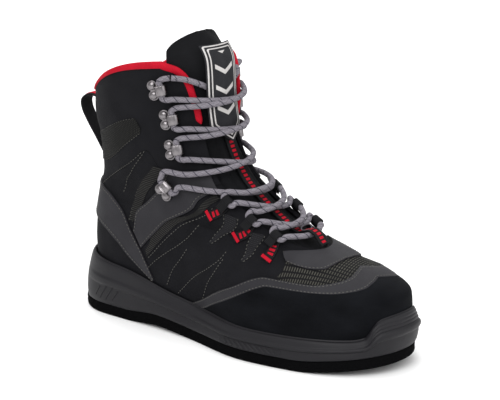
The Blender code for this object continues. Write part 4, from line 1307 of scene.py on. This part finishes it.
def colour_property(label, about, code):
    return bpy.props.FloatVectorProperty(
        name=label, description=about, default=shade(code), subtype="COLOR", size=3, min=0.0, max=1.0
    )


class BootColours(bpy.types.PropertyGroup):
    """Colours of the finishes."""

    body: colour_property("Body", "Nylon of the body", "101013")
    collar: colour_property("Collar", "Smooth cloth of the collar", "121215")
    strap: colour_property("Straps", "Coated microfibre of straps and trim", "1e1d21")
    rand: colour_property("Rand", "Napped toe cap", "0c0d10")
    rubber: colour_property("Rubber", "Moulded midsole", "121115")
    felt: colour_property("Felt", "Felt of the outsole", "09090a")
    accent: colour_property("Accent", "Red tape, bars and lining", "a80d22")
    metal: colour_property("Metal", "Hooks and rivets", "807c7e")
    lace: colour_property("Lace", "Ground of the braided lace", "77737a")
    fleck: colour_property("Fleck", "Flecks of the lace", "191b26")
    thread: colour_property("Thread", "Stitching", "555450")


def tapered(table, share):
    """One line along a panel, at a share of the way from its lower to its upper edge."""
    rows = np.array(table, float)
    if rows.shape[1] == 3:
        rows = rows[:, [0, 1, 0, 2]]
    return rows[:, :2] + (rows[:, 2:] - rows[:, :2]) * share


def side_edges(table, side, count):
    w_low, low, w_high, high = from_table(table, count, mirror=False)
    return side * w_low, low, side * w_high, high


def seam_distance(w, ring):
    """Metres from the seam between collar cloth and body cloth, more than 0 on the body."""
    reach = np.linspace(0, 1, 400)
    rows = np.array(BODY_TOP)
    line_w = np.interp(reach, np.linspace(0, 1, len(rows)), rows[:, 0])
    line_ring = np.interp(reach, np.linspace(0, 1, len(rows)), rows[:, 1])
    points = at(np.abs(w), ring)
    line = at(line_w, line_ring)
    near = np.full(w.shape, 1.0)
    for place in line:
        near = np.minimum(near, np.linalg.norm(points - place, axis=-1))
    below = ring < np.interp(np.abs(w), rows[:, 0], rows[:, 1])
    return np.where(below, near, -near)


def make_upper():
    seam_ring = THROAT[0][0]
    closed_rings = np.linspace(0.0, seam_ring, 54)
    rings = np.concatenate([closed_rings, np.linspace(seam_ring + 0.05, COLLAR_RING, 68)])
    shares = np.linspace(-1, 1, 201)
    lateral, medial = throat_edge(rings)
    w = shares * np.where(shares < 0, lateral[:, None], medial[:, None])
    rows = np.repeat(rings[:, None], len(shares), axis=1)
    stored = {"seam": seam_distance(w, rows)}
    obj = merge(drape("upper_shell", skin(w, rows), skin(w, rows, 0.001), stored=stored))
    wall(obj, UPPER_WALL, -1.0, inner=1)
    # Inner faces above RED_LINING_ABOVE take the red lining, whose red is painted darker as shade
    for face in obj.data.polygons:
        if face.material_index == 1 and face.center.z > RED_LINING_ABOVE:
            face.material_index = 2
    looks = [finish(name) for name in ("upper_cloth", "black_lining", "red_lining")]
    dress(obj, looks, ["upper"])


def make_straps():
    thick = bpy.context.scene.boot_sizes.panel_thickness
    look = finish("grey_synthetic")
    strap = panel("heel_counter_strap", from_table(HEEL_STRAP, 60), 15, 0.0002, thick)
    dress(strap, look, ["heel_strap"])
    for label, side in SIDES.items():
        strap = panel("ankle_band_" + label, side_edges(ANKLE_STRAP, side, 70), 13, 0.0003, thick)
        dress(strap, look, ["ankle_strap_" + label])


def make_toe():
    thick = bpy.context.scene.boot_sizes.panel_thickness
    cap = panel("toe_rand", band_edges(TOE_CAP, 90), 34, 0.0002, thick)
    dress(cap, finish("black_rand"), ["toe_cap"])
    net = panel("vamp_net_panel", band_edges(VAMP_MESH, 60), 26, 0.0001, THIN_CLOTH, 0.0)
    dress(net, finish("vamp_net"))
    trim = panel("toe_trim_band", band_edges(TOE_TRIM, 110), 9, 0.0004, thick)
    dress(trim, finish("grey_synthetic"), ["toe_trim"])
    patch = panel("vamp_point_patch", band_edges(VAMP_PATCH, 60), 14, 0.0004, thick)
    dress(patch, finish("grey_synthetic"), ["vamp_patch"])


def make_ribbed_panels():
    patch = panel("collar_ribbed_patch", from_table(BACK_PATCH, 70), 15, 0.0001, 0.0006, 0.0)
    dress(patch, finish("ribbed_patch"))
    for label, table, look in (
        ("ribbed_strip_back", RIB_STRIP_BACK, "ribbed_strip"),
        ("ribbed_strip_front", RIB_STRIP_FRONT, "ribbed_strip"),
        ("dart_upper", DART_TOP, "dart_cloth"),
        ("dart_lower", DART_LOW, "dart_cloth"),
    ):
        edges = [side_edges(table, side, 50) for side in SIDES.values()]
        both = [panel(label, edge, 7, 0.0001, THIN_CLOTH, 0.0) for edge in edges]
        dress(joined(label, both), finish(look))


def spine(loop):
    """The line along the middle of the sole that a loop closes on."""
    x = np.clip(loop[:, 0], -0.012, 0.205)
    return np.stack([x, middle_y(x + HEEL_CENTRE), loop[:, 2]], axis=-1)


def gathered(loop, share, height=None):
    """A loop drawn in towards the spine, at a height that follows x where one is given."""
    drawn = loop + (spine(loop) - loop) * share
    if height is not None:
        drawn[:, 2] = height(drawn[:, 0] + HEEL_CENTRE)
    return drawn


def outward_of(w):
    step = 0.004
    ahead = np.stack(sole_outline(w + step), axis=-1) - np.stack(sole_outline(w - step), axis=-1)
    outward = np.stack([-ahead[:, 1], ahead[:, 0]], axis=-1)
    return outward / np.linalg.norm(outward, axis=1, keepdims=True)


def cup_wall(w, down, out=0.0):
    """Points on the midsole's outer wall, a share of the way down from its lip to its foot."""
    w = np.asarray(w, float)
    down = np.broadcast_to(down, w.shape)
    flare, bulge = table_at(CUP_WALL, down)
    side_w = np.abs((w + 1) % 2 - 1)
    steps = ramp(side_w, *STEPS_FADE)
    bulge = bulge * steps + HEEL_BULGE * np.sin(math.pi * down) * (1 - steps)
    toe = ramp(side_w, *BUMPER_FADE)
    groove = np.exp(-(((down * BUMPER_GROOVES) % 1 - 0.5) / 0.16) ** 2) * (down > 0.05) * (down < 0.34)
    bumper = BUMPER_BULGE * np.sin(math.pi * np.clip(down, 0, 1)) ** 1.5
    bulge = bulge + toe * (bumper - BUMPER_GROOVE_DEPTH * groove)
    lip = at(w, ring_at(w, cup_top), CUP_GAP + CUP_LIP)
    foot = sole_loop(w, lambda x: felt_under(x) + FELT_THICKNESS - 0.0002, 0.0006)
    points = lip + (foot - lip) * np.stack([flare, flare, down], axis=-1)
    points[:, :2] += outward_of(w) * (bulge + out)[:, None]
    return points


def make_sole():
    w = np.linspace(-1, 1, SOLE_COLUMNS)
    top = ring_at(w, cup_top)
    floor = at(w, 0.0, CUP_GAP)
    floor[:, 2] = footbed(floor[:, 0] + HEEL_CENTRE) - GAP
    bed = [gathered(floor, share, lambda x: footbed(x) - GAP) for share in (1.0, 0.6, 0.25)]
    inner = [at(w, 0.04 + (top - 0.04) * share, CUP_GAP) for share in (0.0, 0.3, 0.6, 0.85, 0.97)]
    lip = [at(w, top, CUP_GAP + CUP_LIP * share) for share in (0.15, 0.5, 0.85)]
    lip[1][:, 2] += 0.0006
    outer = [cup_wall(w, down) for down in np.linspace(0.01, 1.0, 46)]
    foot = outer[-1]
    under = [gathered(foot, share) for share in (0.03, 0.5, 1.0)]
    points = np.array([*bed, floor, *inner, *lip, *outer, *under])
    midsole = closed(drape("moulded_midsole", points))
    dress(midsole, finish("grey_rubber"), ["midsole"])

    low = sole_loop(w, felt_under)
    rows = [gathered(low, share, felt_under) for share in (1.0, 0.7, 0.4, 0.15, 0.03)]
    for rise, inset in FELT_SIDE:
        rows.append(sole_loop(w, lambda x, rise=rise: felt_under(x) + FELT_THICKNESS * rise, inset))
    rows += [gathered(rows[-1], share) for share in (0.3, 1.0)]
    outsole = closed(drape("felt_outsole", np.array(rows)))
    dress(outsole, finish("felt"), ["outsole_felt"])

    edge = at(w, 0.12, -INSOLE_INSET)
    edge[:, 2] = footbed(edge[:, 0] + HEEL_CENTRE) + 0.0002
    brim = at(w, ring_at(w, lambda x: footbed(x) + INSOLE_THICKNESS + 0.002), -INSOLE_INSET)
    rows = [gathered(edge, share, lambda x: footbed(x) + 0.0002) for share in (1.0, 0.5)]
    rows += [edge, brim]
    for share in (0.06, 0.2, 0.5, 1.0):
        rows.append(gathered(brim, share, lambda x: footbed(x) + INSOLE_THICKNESS))
    insole = closed(drape("foam_footbed", np.array(rows)))
    dress(insole, finish("footbed"), ["insole"])


def make_sole_details():
    """Slanting ribs and the frame round them on the midsole's wall."""
    bars = []
    for side in SIDES.values():
        for group in WALL_RIBS:
            for number in range(group.count):
                share = number / (group.count - 1)
                start = group.first + (group.last - group.first) * share
                shrink = 1 - group.taper * abs(2 * share - 1) ** 2
                half = (group.bottom - group.top) / 2 * shrink
                reach = np.linspace(-1, 1, 9)
                down = (group.bottom + group.top) / 2 + half * reach
                w = side * (start + group.lean * reach / 2 * shrink)
                path = cup_wall(w, down, -group.radius * 0.25)
                bars.append(round_cord("rib", path, group.radius, 8))
        turn = np.linspace(0, math.tau, 40)
        for ring in RIB_FRAMES:
            w = side * (ring.w + ring.half_w * np.sign(np.cos(turn)) * np.abs(np.cos(turn)) ** 0.6)
            down = ring.down + ring.half_down * np.sign(np.sin(turn)) * np.abs(np.sin(turn)) ** 0.6
            bars.append(round_cord("rib_frame", cup_wall(w, down, -0.0003), 0.0006, 8))
    dress(joined("midsole_ribs", bars), finish("grey_rubber"))


def tongue_face(w, ring, lift):
    return at(w, ring, lift - TONGUE_UNDER)


def make_tongue():
    rings = np.linspace(TONGUE[0][0], TONGUE[-1][0], 84)
    halves = BALL_HALF * table_at(TONGUE, rings)
    w = front_grid(rings, halves, 45)
    share = np.linspace(-1, 1, 45)[None, :]
    up = rings[:, None]
    lift = -0.0011 * np.exp(-(((np.abs(share) - 0.40) / 0.05) ** 2)) * (up < 9.6)
    lift = lift - 0.0009 * np.exp(-(((np.abs(share) - 0.74) / 0.05) ** 2)) * (up < 10.2)
    lift = lift + 0.0008 * np.sin((up - 5) * 2.6) * np.exp(-((np.abs(share) - 0.6) / 0.3) ** 2)
    obj = drape("padded_tongue", tongue_face(w, up, lift), tongue_face(w, up, lift + 0.001))
    wall(obj, TONGUE_WALL, -1.0)
    soften(obj, TONGUE_ROLL, 3)
    apply_all(obj)
    dress(obj, finish("tongue_cloth"), ["tongue"])


def make_label():
    rings = np.linspace(*LABEL_RINGS, 40)
    share = np.linspace(-1, 1, 31)
    heights = tongue_face(np.ones_like(rings), rings, LABEL_LIFT)
    length = lengths_along(heights[:, None], 0)[:, 0]
    halves = np.minimum(LABEL_HALF, 0.0006 + length / LABEL_POINT)
    w = front_grid(rings, halves, 31, LABEL_ASIDE)
    across = halves[:, None] * np.abs(share)[None, :]
    slope = math.cos(math.atan(LABEL_POINT))
    to_side = LABEL_HALF - across
    to_point = (length[:, None] - across * LABEL_POINT) * slope
    to_top = length[-1] - length[:, None] + 0 * across
    edge = np.minimum(np.minimum(to_side, to_point), to_top)
    uv = np.stack([halves[:, None] * share, np.repeat(length[:, None], 31, axis=1)], axis=-1)
    face = tongue_face(w, rings[:, None], LABEL_LIFT)
    off_face = tongue_face(w, rings[:, None], LABEL_LIFT + 0.001)
    obj = drape("tongue_badge", face, off_face, uv, {"edge": edge})
    merge(obj)
    dress(wall(obj, 0.0010, 1.0, edge=0.0002), finish("label"), ["tongue_label"])


def make_strip():
    rings = np.linspace(STRIP[0][0], STRIP[-1][0], 110)
    path = tongue_face(np.ones_like(rings), rings, table_at(STRIP, rings) + WEBBING / 2)
    ends = [tongue_face(np.full_like(rings, end), rings, 0.0) for end in (0.97, -0.97)]
    tape = tape_profile(STRIP_HALF, WEBBING)
    strip = sweep("lace_keeper_strip", path, tape, ends[0] - ends[1], stored={"ladder": 1.0})
    dress(strip, finish("black_webbing"), ["tongue_strip"])
    turn = np.linspace(0, math.tau * 0.93, 32)
    middle = path[len(path) // 5]
    ring_path = middle + KEEPER_RING * np.stack([np.cos(turn), np.sin(turn), 0 * turn], axis=-1)
    ring_path[:, 2] += 0.0022 + 0.0014 * np.sin(turn)
    dress(round_cord("keeper_ring", ring_path, 0.0005, 8), finish("lace"))


def make_binding():
    """Red tape folded over the edge of the throat and collar."""
    climb = np.linspace(BINDING_FOOT, COLLAR_RING - 0.02, 40)
    top = np.linspace(-1, 1, 121)
    rings = np.concatenate([climb, np.full(len(top), float(COLLAR_RING)), climb[::-1]])
    lateral, medial = throat_edge(rings)
    over = top * np.where(top < 0, lateral[len(climb)], medial[len(climb)])
    w = np.concatenate([-lateral[:len(climb)], over, medial[-len(climb):]])
    edge = skin(w, rings)
    smoothed = edge.copy()
    for _ in range(6):
        smoothed[1:-1] = (smoothed[:-2] + 2 * smoothed[1:-1] + smoothed[2:]) / 4
    normal = skin(w, rings, 0.001) - edge
    normal /= np.linalg.norm(normal, axis=1, keepdims=True)
    ahead = np.gradient(smoothed, axis=0)
    ahead /= np.linalg.norm(ahead, axis=1, keepdims=True)
    outward = np.cross(ahead, normal)
    inside = skin(w * 0.97, rings - 0.12) - edge
    outward *= -np.sign(np.sum(outward * inside, axis=1, keepdims=True))
    fade = np.ones(len(w))
    fade[:4] = fade[-4:][::-1] = (0.25, 0.55, 0.8, 0.95)
    profile = np.array(BINDING_PROFILE)
    loop = np.concatenate([profile, profile[:1]])
    leg = 0.15 + 0.65 * ramp(np.abs(w), 0.20, 0.40)
    shortened = np.minimum(loop[:, 0], 0) * leg[:, None] + np.maximum(loop[:, 0], 0)
    reach = np.where(loop[:, 1] > -0.0005, shortened, loop[:, 0])
    points = edge[:, None] + (fade[:, None] * reach)[:, :, None] * outward[:, None]
    points += loop[None, :, 1:] * normal[:, None]
    first = np.repeat(points[:1].mean(axis=1, keepdims=True), len(loop), axis=1)
    last = np.repeat(points[-1:].mean(axis=1, keepdims=True), len(loop), axis=1)
    points = np.concatenate([first, points, last])
    around = lengths_along(loop[None], 1)[0]
    along = lengths_along(points.mean(axis=1)[:, None], 0)
    uv = np.stack(np.broadcast_arrays(around[None, :], along), axis=-1)
    obj = closed(drape("collar_tape", points, uv=uv))
    dress(obj, finish("red_binding"), ["collar_binding"])


def seat(side, w, ring, turn=0.0, lift=0.0):
    """Matrix of a fitting on the upper: X towards the throat, Z out of the upper."""
    place, out, ahead = skin([side * w, side * w, side * (w + 0.01)], ring, [0.0, 0.001, 0.0])
    normal = Vector(out - place).normalized()
    forward = Vector(ahead - place)
    forward = (forward - normal * forward.dot(normal)).normalized()
    forward = Matrix.Rotation(math.radians(turn) * -side, 3, normal) @ forward
    across = normal.cross(forward)
    matrix = Matrix((forward, across, normal)).transposed().to_4x4()
    matrix.translation = Vector(place) + normal * lift
    return matrix


def arc(centre, radius, start, end, steps):
    angles = np.radians(np.linspace(start, end, steps + 1))
    return [(centre[0] + radius * math.cos(a), centre[1] + radius * math.sin(a)) for a in angles]


def primitive(add, name, scale, place, bevel=0.0, **settings):
    """A primitive sized and placed in edit mode, with its edges rounded."""
    bpy.ops.object.select_all(action="DESELECT")
    add(**settings)
    obj = bpy.context.active_object
    obj.name = name
    obj.data.transform(Matrix.Translation(place) @ Matrix.Diagonal((*scale, 1.0)))
    if bevel:
        soften(obj, bevel, 3, 30)
        apply_all(obj)
    return obj


def hook_pattern():
    """A cast hook: two domed rivets on a plate, and a tongue of metal bent over the lace."""
    floor = BASE_HEIGHT["hook"]
    centre = (0.0008, floor + HOOK_BEND)
    flat = [(-0.0085, floor), (-0.005, floor), (-0.0020, floor)]
    flat += arc(centre, HOOK_BEND, -90, 90, 14)
    flat += [(-0.0012, centre[1] + HOOK_BEND + 0.0001), (-0.0030, centre[1] + HOOK_BEND + 0.0009)]
    path = np.array([(x, 0.0, z) for x, z in flat])
    parts = [sweep("hook_tongue", spline(path, 3), tape_profile(HOOK_HALF, HOOK_METAL), (0.0, 1.0, 0.0))]
    cylinder = bpy.ops.mesh.primitive_cylinder_add
    sphere = bpy.ops.mesh.primitive_uv_sphere_add
    for across in (-HOOK_RIVET, HOOK_RIVET):
        parts.append(primitive(
            cylinder, "hook_plate", (1.0, 1.0, 1.0), (RIVET_BACK, across, 0.0008), 0.0003,
            vertices=28, radius=RIVET_PLATE, depth=HOOK_METAL,
        ))
        parts.append(primitive(
            sphere, "hook_rivet", (1.0, 1.0, 0.62), (RIVET_BACK, across, 0.0014), 0.0,
            segments=24, ring_count=14, radius=RIVET_DOME,
        ))
    parts.append(primitive(
        bpy.ops.mesh.primitive_cube_add, "hook_bridge", (0.0056, 0.0074, 0.0014),
        (-0.0064, 0.0, 0.0008), 0.0004, size=1.0,
    ))
    parts.append(primitive(
        sphere, "hook_barrel", (0.0042, 0.0040, 0.0022), (-0.0018, 0.0, 0.0012), 0.0,
        segments=24, ring_count=14, radius=1.0,
    ))
    return joined("hook_pattern", parts)


def placed_copy(pattern, name, matrix):
    mesh = pattern.data.copy()
    mesh.name = name
    mesh.transform(matrix)
    obj = bpy.data.objects.new(name, mesh)
    bpy.context.scene.collection.objects.link(obj)
    return obj


def webbing_loop(name, side, row, bar):
    """Webbing from its red bar up the side, folded round the lace."""
    matrix = seat(side, row.w, row.ring, row.turn, row.lift)
    floor = BASE_HEIGHT["lace_loop"]
    centre = (0.0008, floor + HOOK_BEND)
    shares = np.array((0.0, 0.22, 0.45, 0.66))
    tail_w = bar[0] + (row.w - bar[0]) * shares
    tail_ring = bar[1] + (row.ring - bar[1]) * shares
    path = [Vector(point) for point in skin(side * tail_w, tail_ring, 0.0010)]
    bend = arc(centre, HOOK_BEND + 0.0002, -90, 165, 14)
    path += [matrix @ Vector((x, 0.0, z)) for x, z in bend]
    path += [matrix @ Vector((-0.0050, 0.0, 0.0040)), matrix @ Vector((-0.0085, 0.0, 0.0027))]
    line = spline([tuple(point) for point in path], 3)
    lengths = lengths_along(line[:, None], 0)[:, 0]
    shown = (lengths > LADDER_SHOWN[0]) & (lengths < LADDER_SHOWN[1])
    ladder = np.concatenate([[0.0, 0.0], shown.astype(float), [0.0, 0.0]])[:, None]
    across = np.array(matrix.col[1][:3])
    loop = sweep(name, line, tape_profile(LOOP_HALF, WEBBING), across, stored={"ladder": ladder})
    along = (line[6] - line[0]) / np.linalg.norm(line[6] - line[0])
    over = across - along * across.dot(along) * 0.5
    over /= np.linalg.norm(over)
    tack_path = line[1] + over[None, :] * np.linspace(-0.0046, 0.0046, 12)[:, None]
    out = np.cross(along, over)
    out *= np.sign(out.dot(np.array(matrix.col[2][:3])))
    tack = sweep(name + "_tack", tack_path + out * 0.0010, tape_profile(0.0014, 0.0009), along)
    return loop, tack


def make_fittings():
    hook = hook_pattern()
    tacks = []
    for row in LACE_ROWS:
        for label, side in SIDES.items():
            node = f"{row.kind}_{label}_{row.number}"
            if row.kind == "hook":
                matrix = seat(side, row.w, row.ring, row.turn, row.lift)
                made = placed_copy(hook, "cast_" + node, matrix)
                dress(made, finish("pewter"), [node])
            else:
                made, tack = webbing_loop("webbing_" + node, side, row, LOOP_BARS[row.number - 1])
                dress(made, finish("black_webbing"), [node])
                tacks.append(tack)
    bpy.data.objects.remove(hook, do_unlink=True)
    dress(joined("red_bar_tacks", tacks), finish("red_binding"))


def lace_height(row):
    """Height of the lace over the upper where it leaves a fitting."""
    return row.lift + BASE_HEIGHT[row.kind] + HOOK_BEND


def lace_turn(side, row):
    """The lace's points round one fitting, top to bottom."""
    matrix = seat(side, row.w, row.ring, row.turn)
    return [matrix @ Vector((ahead, -side * up, lace_height(row))) for ahead, up in LACE_TURN[row.kind]]


def lace_leave(side, row, upper_end):
    """Reach from the throat's middle, ring and height where the lace leaves a fitting."""
    places = at([side * row.w, side * (row.w + 0.01), side * row.w], [row.ring, row.ring, row.ring + 0.11])
    per_w = np.linalg.norm(places[1] - places[0]) / 0.01
    per_ring = np.linalg.norm(places[2] - places[0]) / 0.11
    ahead, up = LACE_TURN[row.kind][0]
    up = up if upper_end else -up
    turn = math.radians(row.turn)
    forward = ahead * math.cos(turn) - up * math.sin(turn)
    upward = ahead * math.sin(turn) + up * math.cos(turn)
    height = lace_height(row) + float(relief(side * row.w, row.ring))
    return side * (1 - row.w - forward / per_w), row.ring + upward / per_ring, height


def lace_crossing(start, end, middle, shares):
    """Points over the throat between two places, each a reach, a ring and a height."""
    points = []
    for share in shares:
        reach, ring, height = (first + (last - first) * share for first, last in zip(start, end))
        w = (1 - abs(reach)) * (-1 if reach < 0 else 1)
        height += (middle - height) * (1 - (1 - 2 * share) ** 2)
        points.append(Vector(at(w, ring, height)))
    return points


def lace_strand(first_side):
    """One half of the lace, zigzag from the top row to the middle of the lowest bar."""
    points = []
    side = first_side
    for row, below in zip(LACE_ROWS, LACE_ROWS[1:]):
        points += lace_turn(side, row)
        start, end = lace_leave(side, row, False), lace_leave(-side, below, True)
        points += lace_crossing(start, end, row.middle + LACE_WEAVE * side, (0.18, 0.34, 0.5, 0.66, 0.82))
        side = -side
    lowest = LACE_ROWS[-1]
    points += lace_turn(side, lowest)
    start, end = lace_leave(side, lowest, False), lace_leave(-side, lowest, False)
    return points + lace_crossing(start, end, lowest.middle, (0.2, 0.36))


def make_laces():
    lateral, medial = lace_strand(LATERAL), lace_strand(MEDIAL)
    path = spline([tuple(point) for point in lateral + medial[::-1]], 6)
    obj = round_cord("braided_lace", path, bpy.context.scene.boot_sizes.lace_radius, 16)
    dress(obj, finish("lace"), ["laces"])


def make_lace_ends():
    radius = bpy.context.scene.boot_sizes.lace_radius
    for label, side in SIDES.items():
        start = lace_turn(side, LACE_ROWS[0])[0]
        route = [Vector(at(side * w, ring, height)) for w, ring, height in LACE_END]
        first = start + (route[0] - start).normalized() * 0.0012
        path = spline([tuple(first), *(tuple(point) for point in route)], 4)
        obj = round_cord("lace_tail_" + label, path, radius, 16)
        dress(obj, finish("lace"), ["lace_end_" + label])
        2 * radius


def make_pull_loop():
    heights = np.array([height for _, height in PULL_LOOP])

    def above(ring):
        return last_points(np.zeros_like(ring), ring)[:, 2] > heights

    rings = bisect(np.full(len(heights), 3.3), np.full(len(heights), 11.0), above)
    surface = at(np.zeros(len(heights)), rings)[:, 0]
    path = spline([(x - out, 0.0, height) for x, (out, height) in zip(surface, PULL_LOOP)], 6)
    tape = tape_profile(PULL_LOOP_HALF, PULL_LOOP_THICKNESS)
    loop = sweep("pull_tab", path, tape, (0.0, 1.0, 0.0), stored={"ladder": 0.0})
    dress(loop, finish("black_webbing"), ["pull_loop"])
    stripe_path = path[9:22] + np.array([0.0, 0.0, 0.0012])
    stripe = sweep("pull_tab_stripe", stripe_path, tape_profile(0.0045, 0.0008), (0.0, 1.0, 0.0))
    dress(stripe, finish("red_binding"))


def make_stitching():
    sizes = bpy.context.scene.boot_sizes
    top = sizes.panel_thickness + 0.0004
    lines = []
    for side in SIDES.values():
        lines += [line_on_skin(table, 0.0003, side) for table in STITCH_LINES]
        for table, shares, lift in (
            (HEEL_STRAP, (0.07, 0.93), top), (ANKLE_STRAP, (0.07, 0.93), top),
            (DART_TOP, (-0.08, 1.08), 0.0003), (DART_LOW, (-0.08, 1.08), 0.0003),
            (TOE_TRIM, (0.12, 0.88), top), (VAMP_PATCH, (0.06,), top),
        ):
            lines += [line_on_skin(tapered(table, share), lift, side) for share in shares]
    size = STITCH._replace(length=sizes.stitch_length, gap=sizes.stitch_gap, radius=sizes.stitch_radius)
    dress(stitched("seam_stitches", lines, inner_line, size), finish("thread"))


def make_stage():
    """Camera at the photograph's angle, a pale floor and soft lights."""
    azimuth, elevation = math.radians(CAMERA_AZIMUTH), math.radians(CAMERA_ELEVATION)
    level = math.cos(elevation)
    away = Vector((level * math.cos(azimuth), level * math.sin(azimuth), math.sin(elevation)))
    place = CAMERA_PIVOT + away * CAMERA_DISTANCE
    data = bpy.data.cameras.new("camera")
    data.lens = bpy.context.scene.boot_sizes.lens
    data.clip_start = 0.05
    camera = bpy.data.objects.new("camera", data)
    camera.location = place
    camera.rotation_euler = (CAMERA_AIM - place).to_track_quat("-Z", "Y").to_euler()
    bpy.context.scene.collection.objects.link(camera)
    bpy.context.scene.camera = camera
    bpy.ops.object.select_all(action="DESELECT")
    bpy.ops.mesh.primitive_grid_add(x_subdivisions=8, y_subdivisions=8, size=16)
    floor = bpy.context.active_object
    floor.name = "studio_floor"
    floor.data.materials.append(finish("studio_floor"))
    for lamp in LAMPS:
        light = bpy.data.lights.new(lamp.name, "AREA")
        light.energy = lamp.power
        light.size = lamp.size
        obj = bpy.data.objects.new(lamp.name, light)
        obj.location = lamp.place
        aim = LAMP_AIM - Vector(lamp.place)
        obj.rotation_euler = aim.to_track_quat("-Z", "Y").to_euler()
        bpy.context.scene.collection.objects.link(obj)
    world = bpy.data.worlds.new("studio")
    world.use_nodes = True
    background = world.node_tree.nodes["Background"]
    background.inputs["Color"].default_value = (1.0, 1.0, 1.0, 1.0)
    background.inputs["Strength"].default_value = WORLD_STRENGTH
    bpy.context.scene.world = world
    bpy.context.scene.view_settings.view_transform = "Standard"


def operator(name, label, about, makers):
    """An operator class that makes one piece or a group of like pieces."""

    def execute(self, context):
        for make in makers:
            make()
        return {"FINISHED"}

    return type("BOOT_OT_" + name, (bpy.types.Operator,), {
        "bl_idname": "boot." + name, "bl_label": label, "__doc__": about, "execute": execute,
    })


OPERATORS = (
    operator("stage", "Stage", "Camera, floor and lights", [make_stage]),
    operator("lace_ends", "Lace ends", "The lace's two ends, tucked behind the label", [make_lace_ends]),
    operator("upper", "Upper", "Hollow upper with its linings", [make_upper]),
    operator("sole", "Sole", "Midsole, felt and footbed", [make_sole, make_sole_details]),
    operator("toe", "Toe", "Rand, trim, net and patch over the forefoot", [make_toe]),
    operator("straps", "Straps", "Heel strap and ankle straps", [make_straps]),
    operator("ribbed_panels", "Ribbed panels", "Ribbed patch, strips and darts", [make_ribbed_panels]),
    operator(
        "tongue", "Tongue", "Padded tongue with its label and strip", [make_tongue, make_label, make_strip]
    ),
    operator("binding", "Binding", "Red tape round the collar", [make_binding]),
    operator("fittings", "Fittings", "Hooks, webbing loops and bar tacks", [make_fittings]),
    operator("laces", "Laces", "The lace through its hooks and loops", [make_laces]),
    operator("pull_loop", "Pull loop", "Webbing loop at the heel", [make_pull_loop]),
    operator("stitching", "Stitching", "Every line of thread", [make_stitching]),
)


class BOOT_PT_pieces(bpy.types.Panel):
    """Lists the boot's pieces."""

    bl_label = "Wading boot"
    bl_idname = "BOOT_PT_pieces"
    bl_space_type = "VIEW_3D"
    bl_region_type = "UI"
    bl_category = "Boot"

    def draw(self, context):
        layout = self.layout
        for group in (context.scene.boot_sizes, context.scene.boot_colours):
            for name in group.bl_rna.properties.keys():
                if name not in ("rna_type", "name"):
                    layout.prop(group, name)
        for made in OPERATORS:
            layout.operator(made.bl_idname)


CLASSES = (BootSizes, BootColours, *OPERATORS, BOOT_PT_pieces)


def register():
    for kind in CLASSES:
        bpy.utils.register_class(kind)
    bpy.types.Scene.boot_sizes = bpy.props.PointerProperty(type=BootSizes)
    bpy.types.Scene.boot_colours = bpy.props.PointerProperty(type=BootColours)


def unregister():
    del bpy.types.Scene.boot_sizes
    del bpy.types.Scene.boot_colours
    for kind in reversed(CLASSES):
        bpy.utils.unregister_class(kind)


def main():
    register()
    bpy.ops.boot.stage()
    bpy.ops.boot.lace_ends()
    bpy.ops.boot.upper()
    bpy.ops.boot.sole()
    bpy.ops.boot.toe()
    bpy.ops.boot.straps()
    bpy.ops.boot.ribbed_panels()
    bpy.ops.boot.tongue()
    bpy.ops.boot.binding()
    bpy.ops.boot.fittings()
    bpy.ops.boot.laces()
    bpy.ops.boot.pull_loop()
    bpy.ops.boot.stitching()


if __name__ == "__main__":
    main()
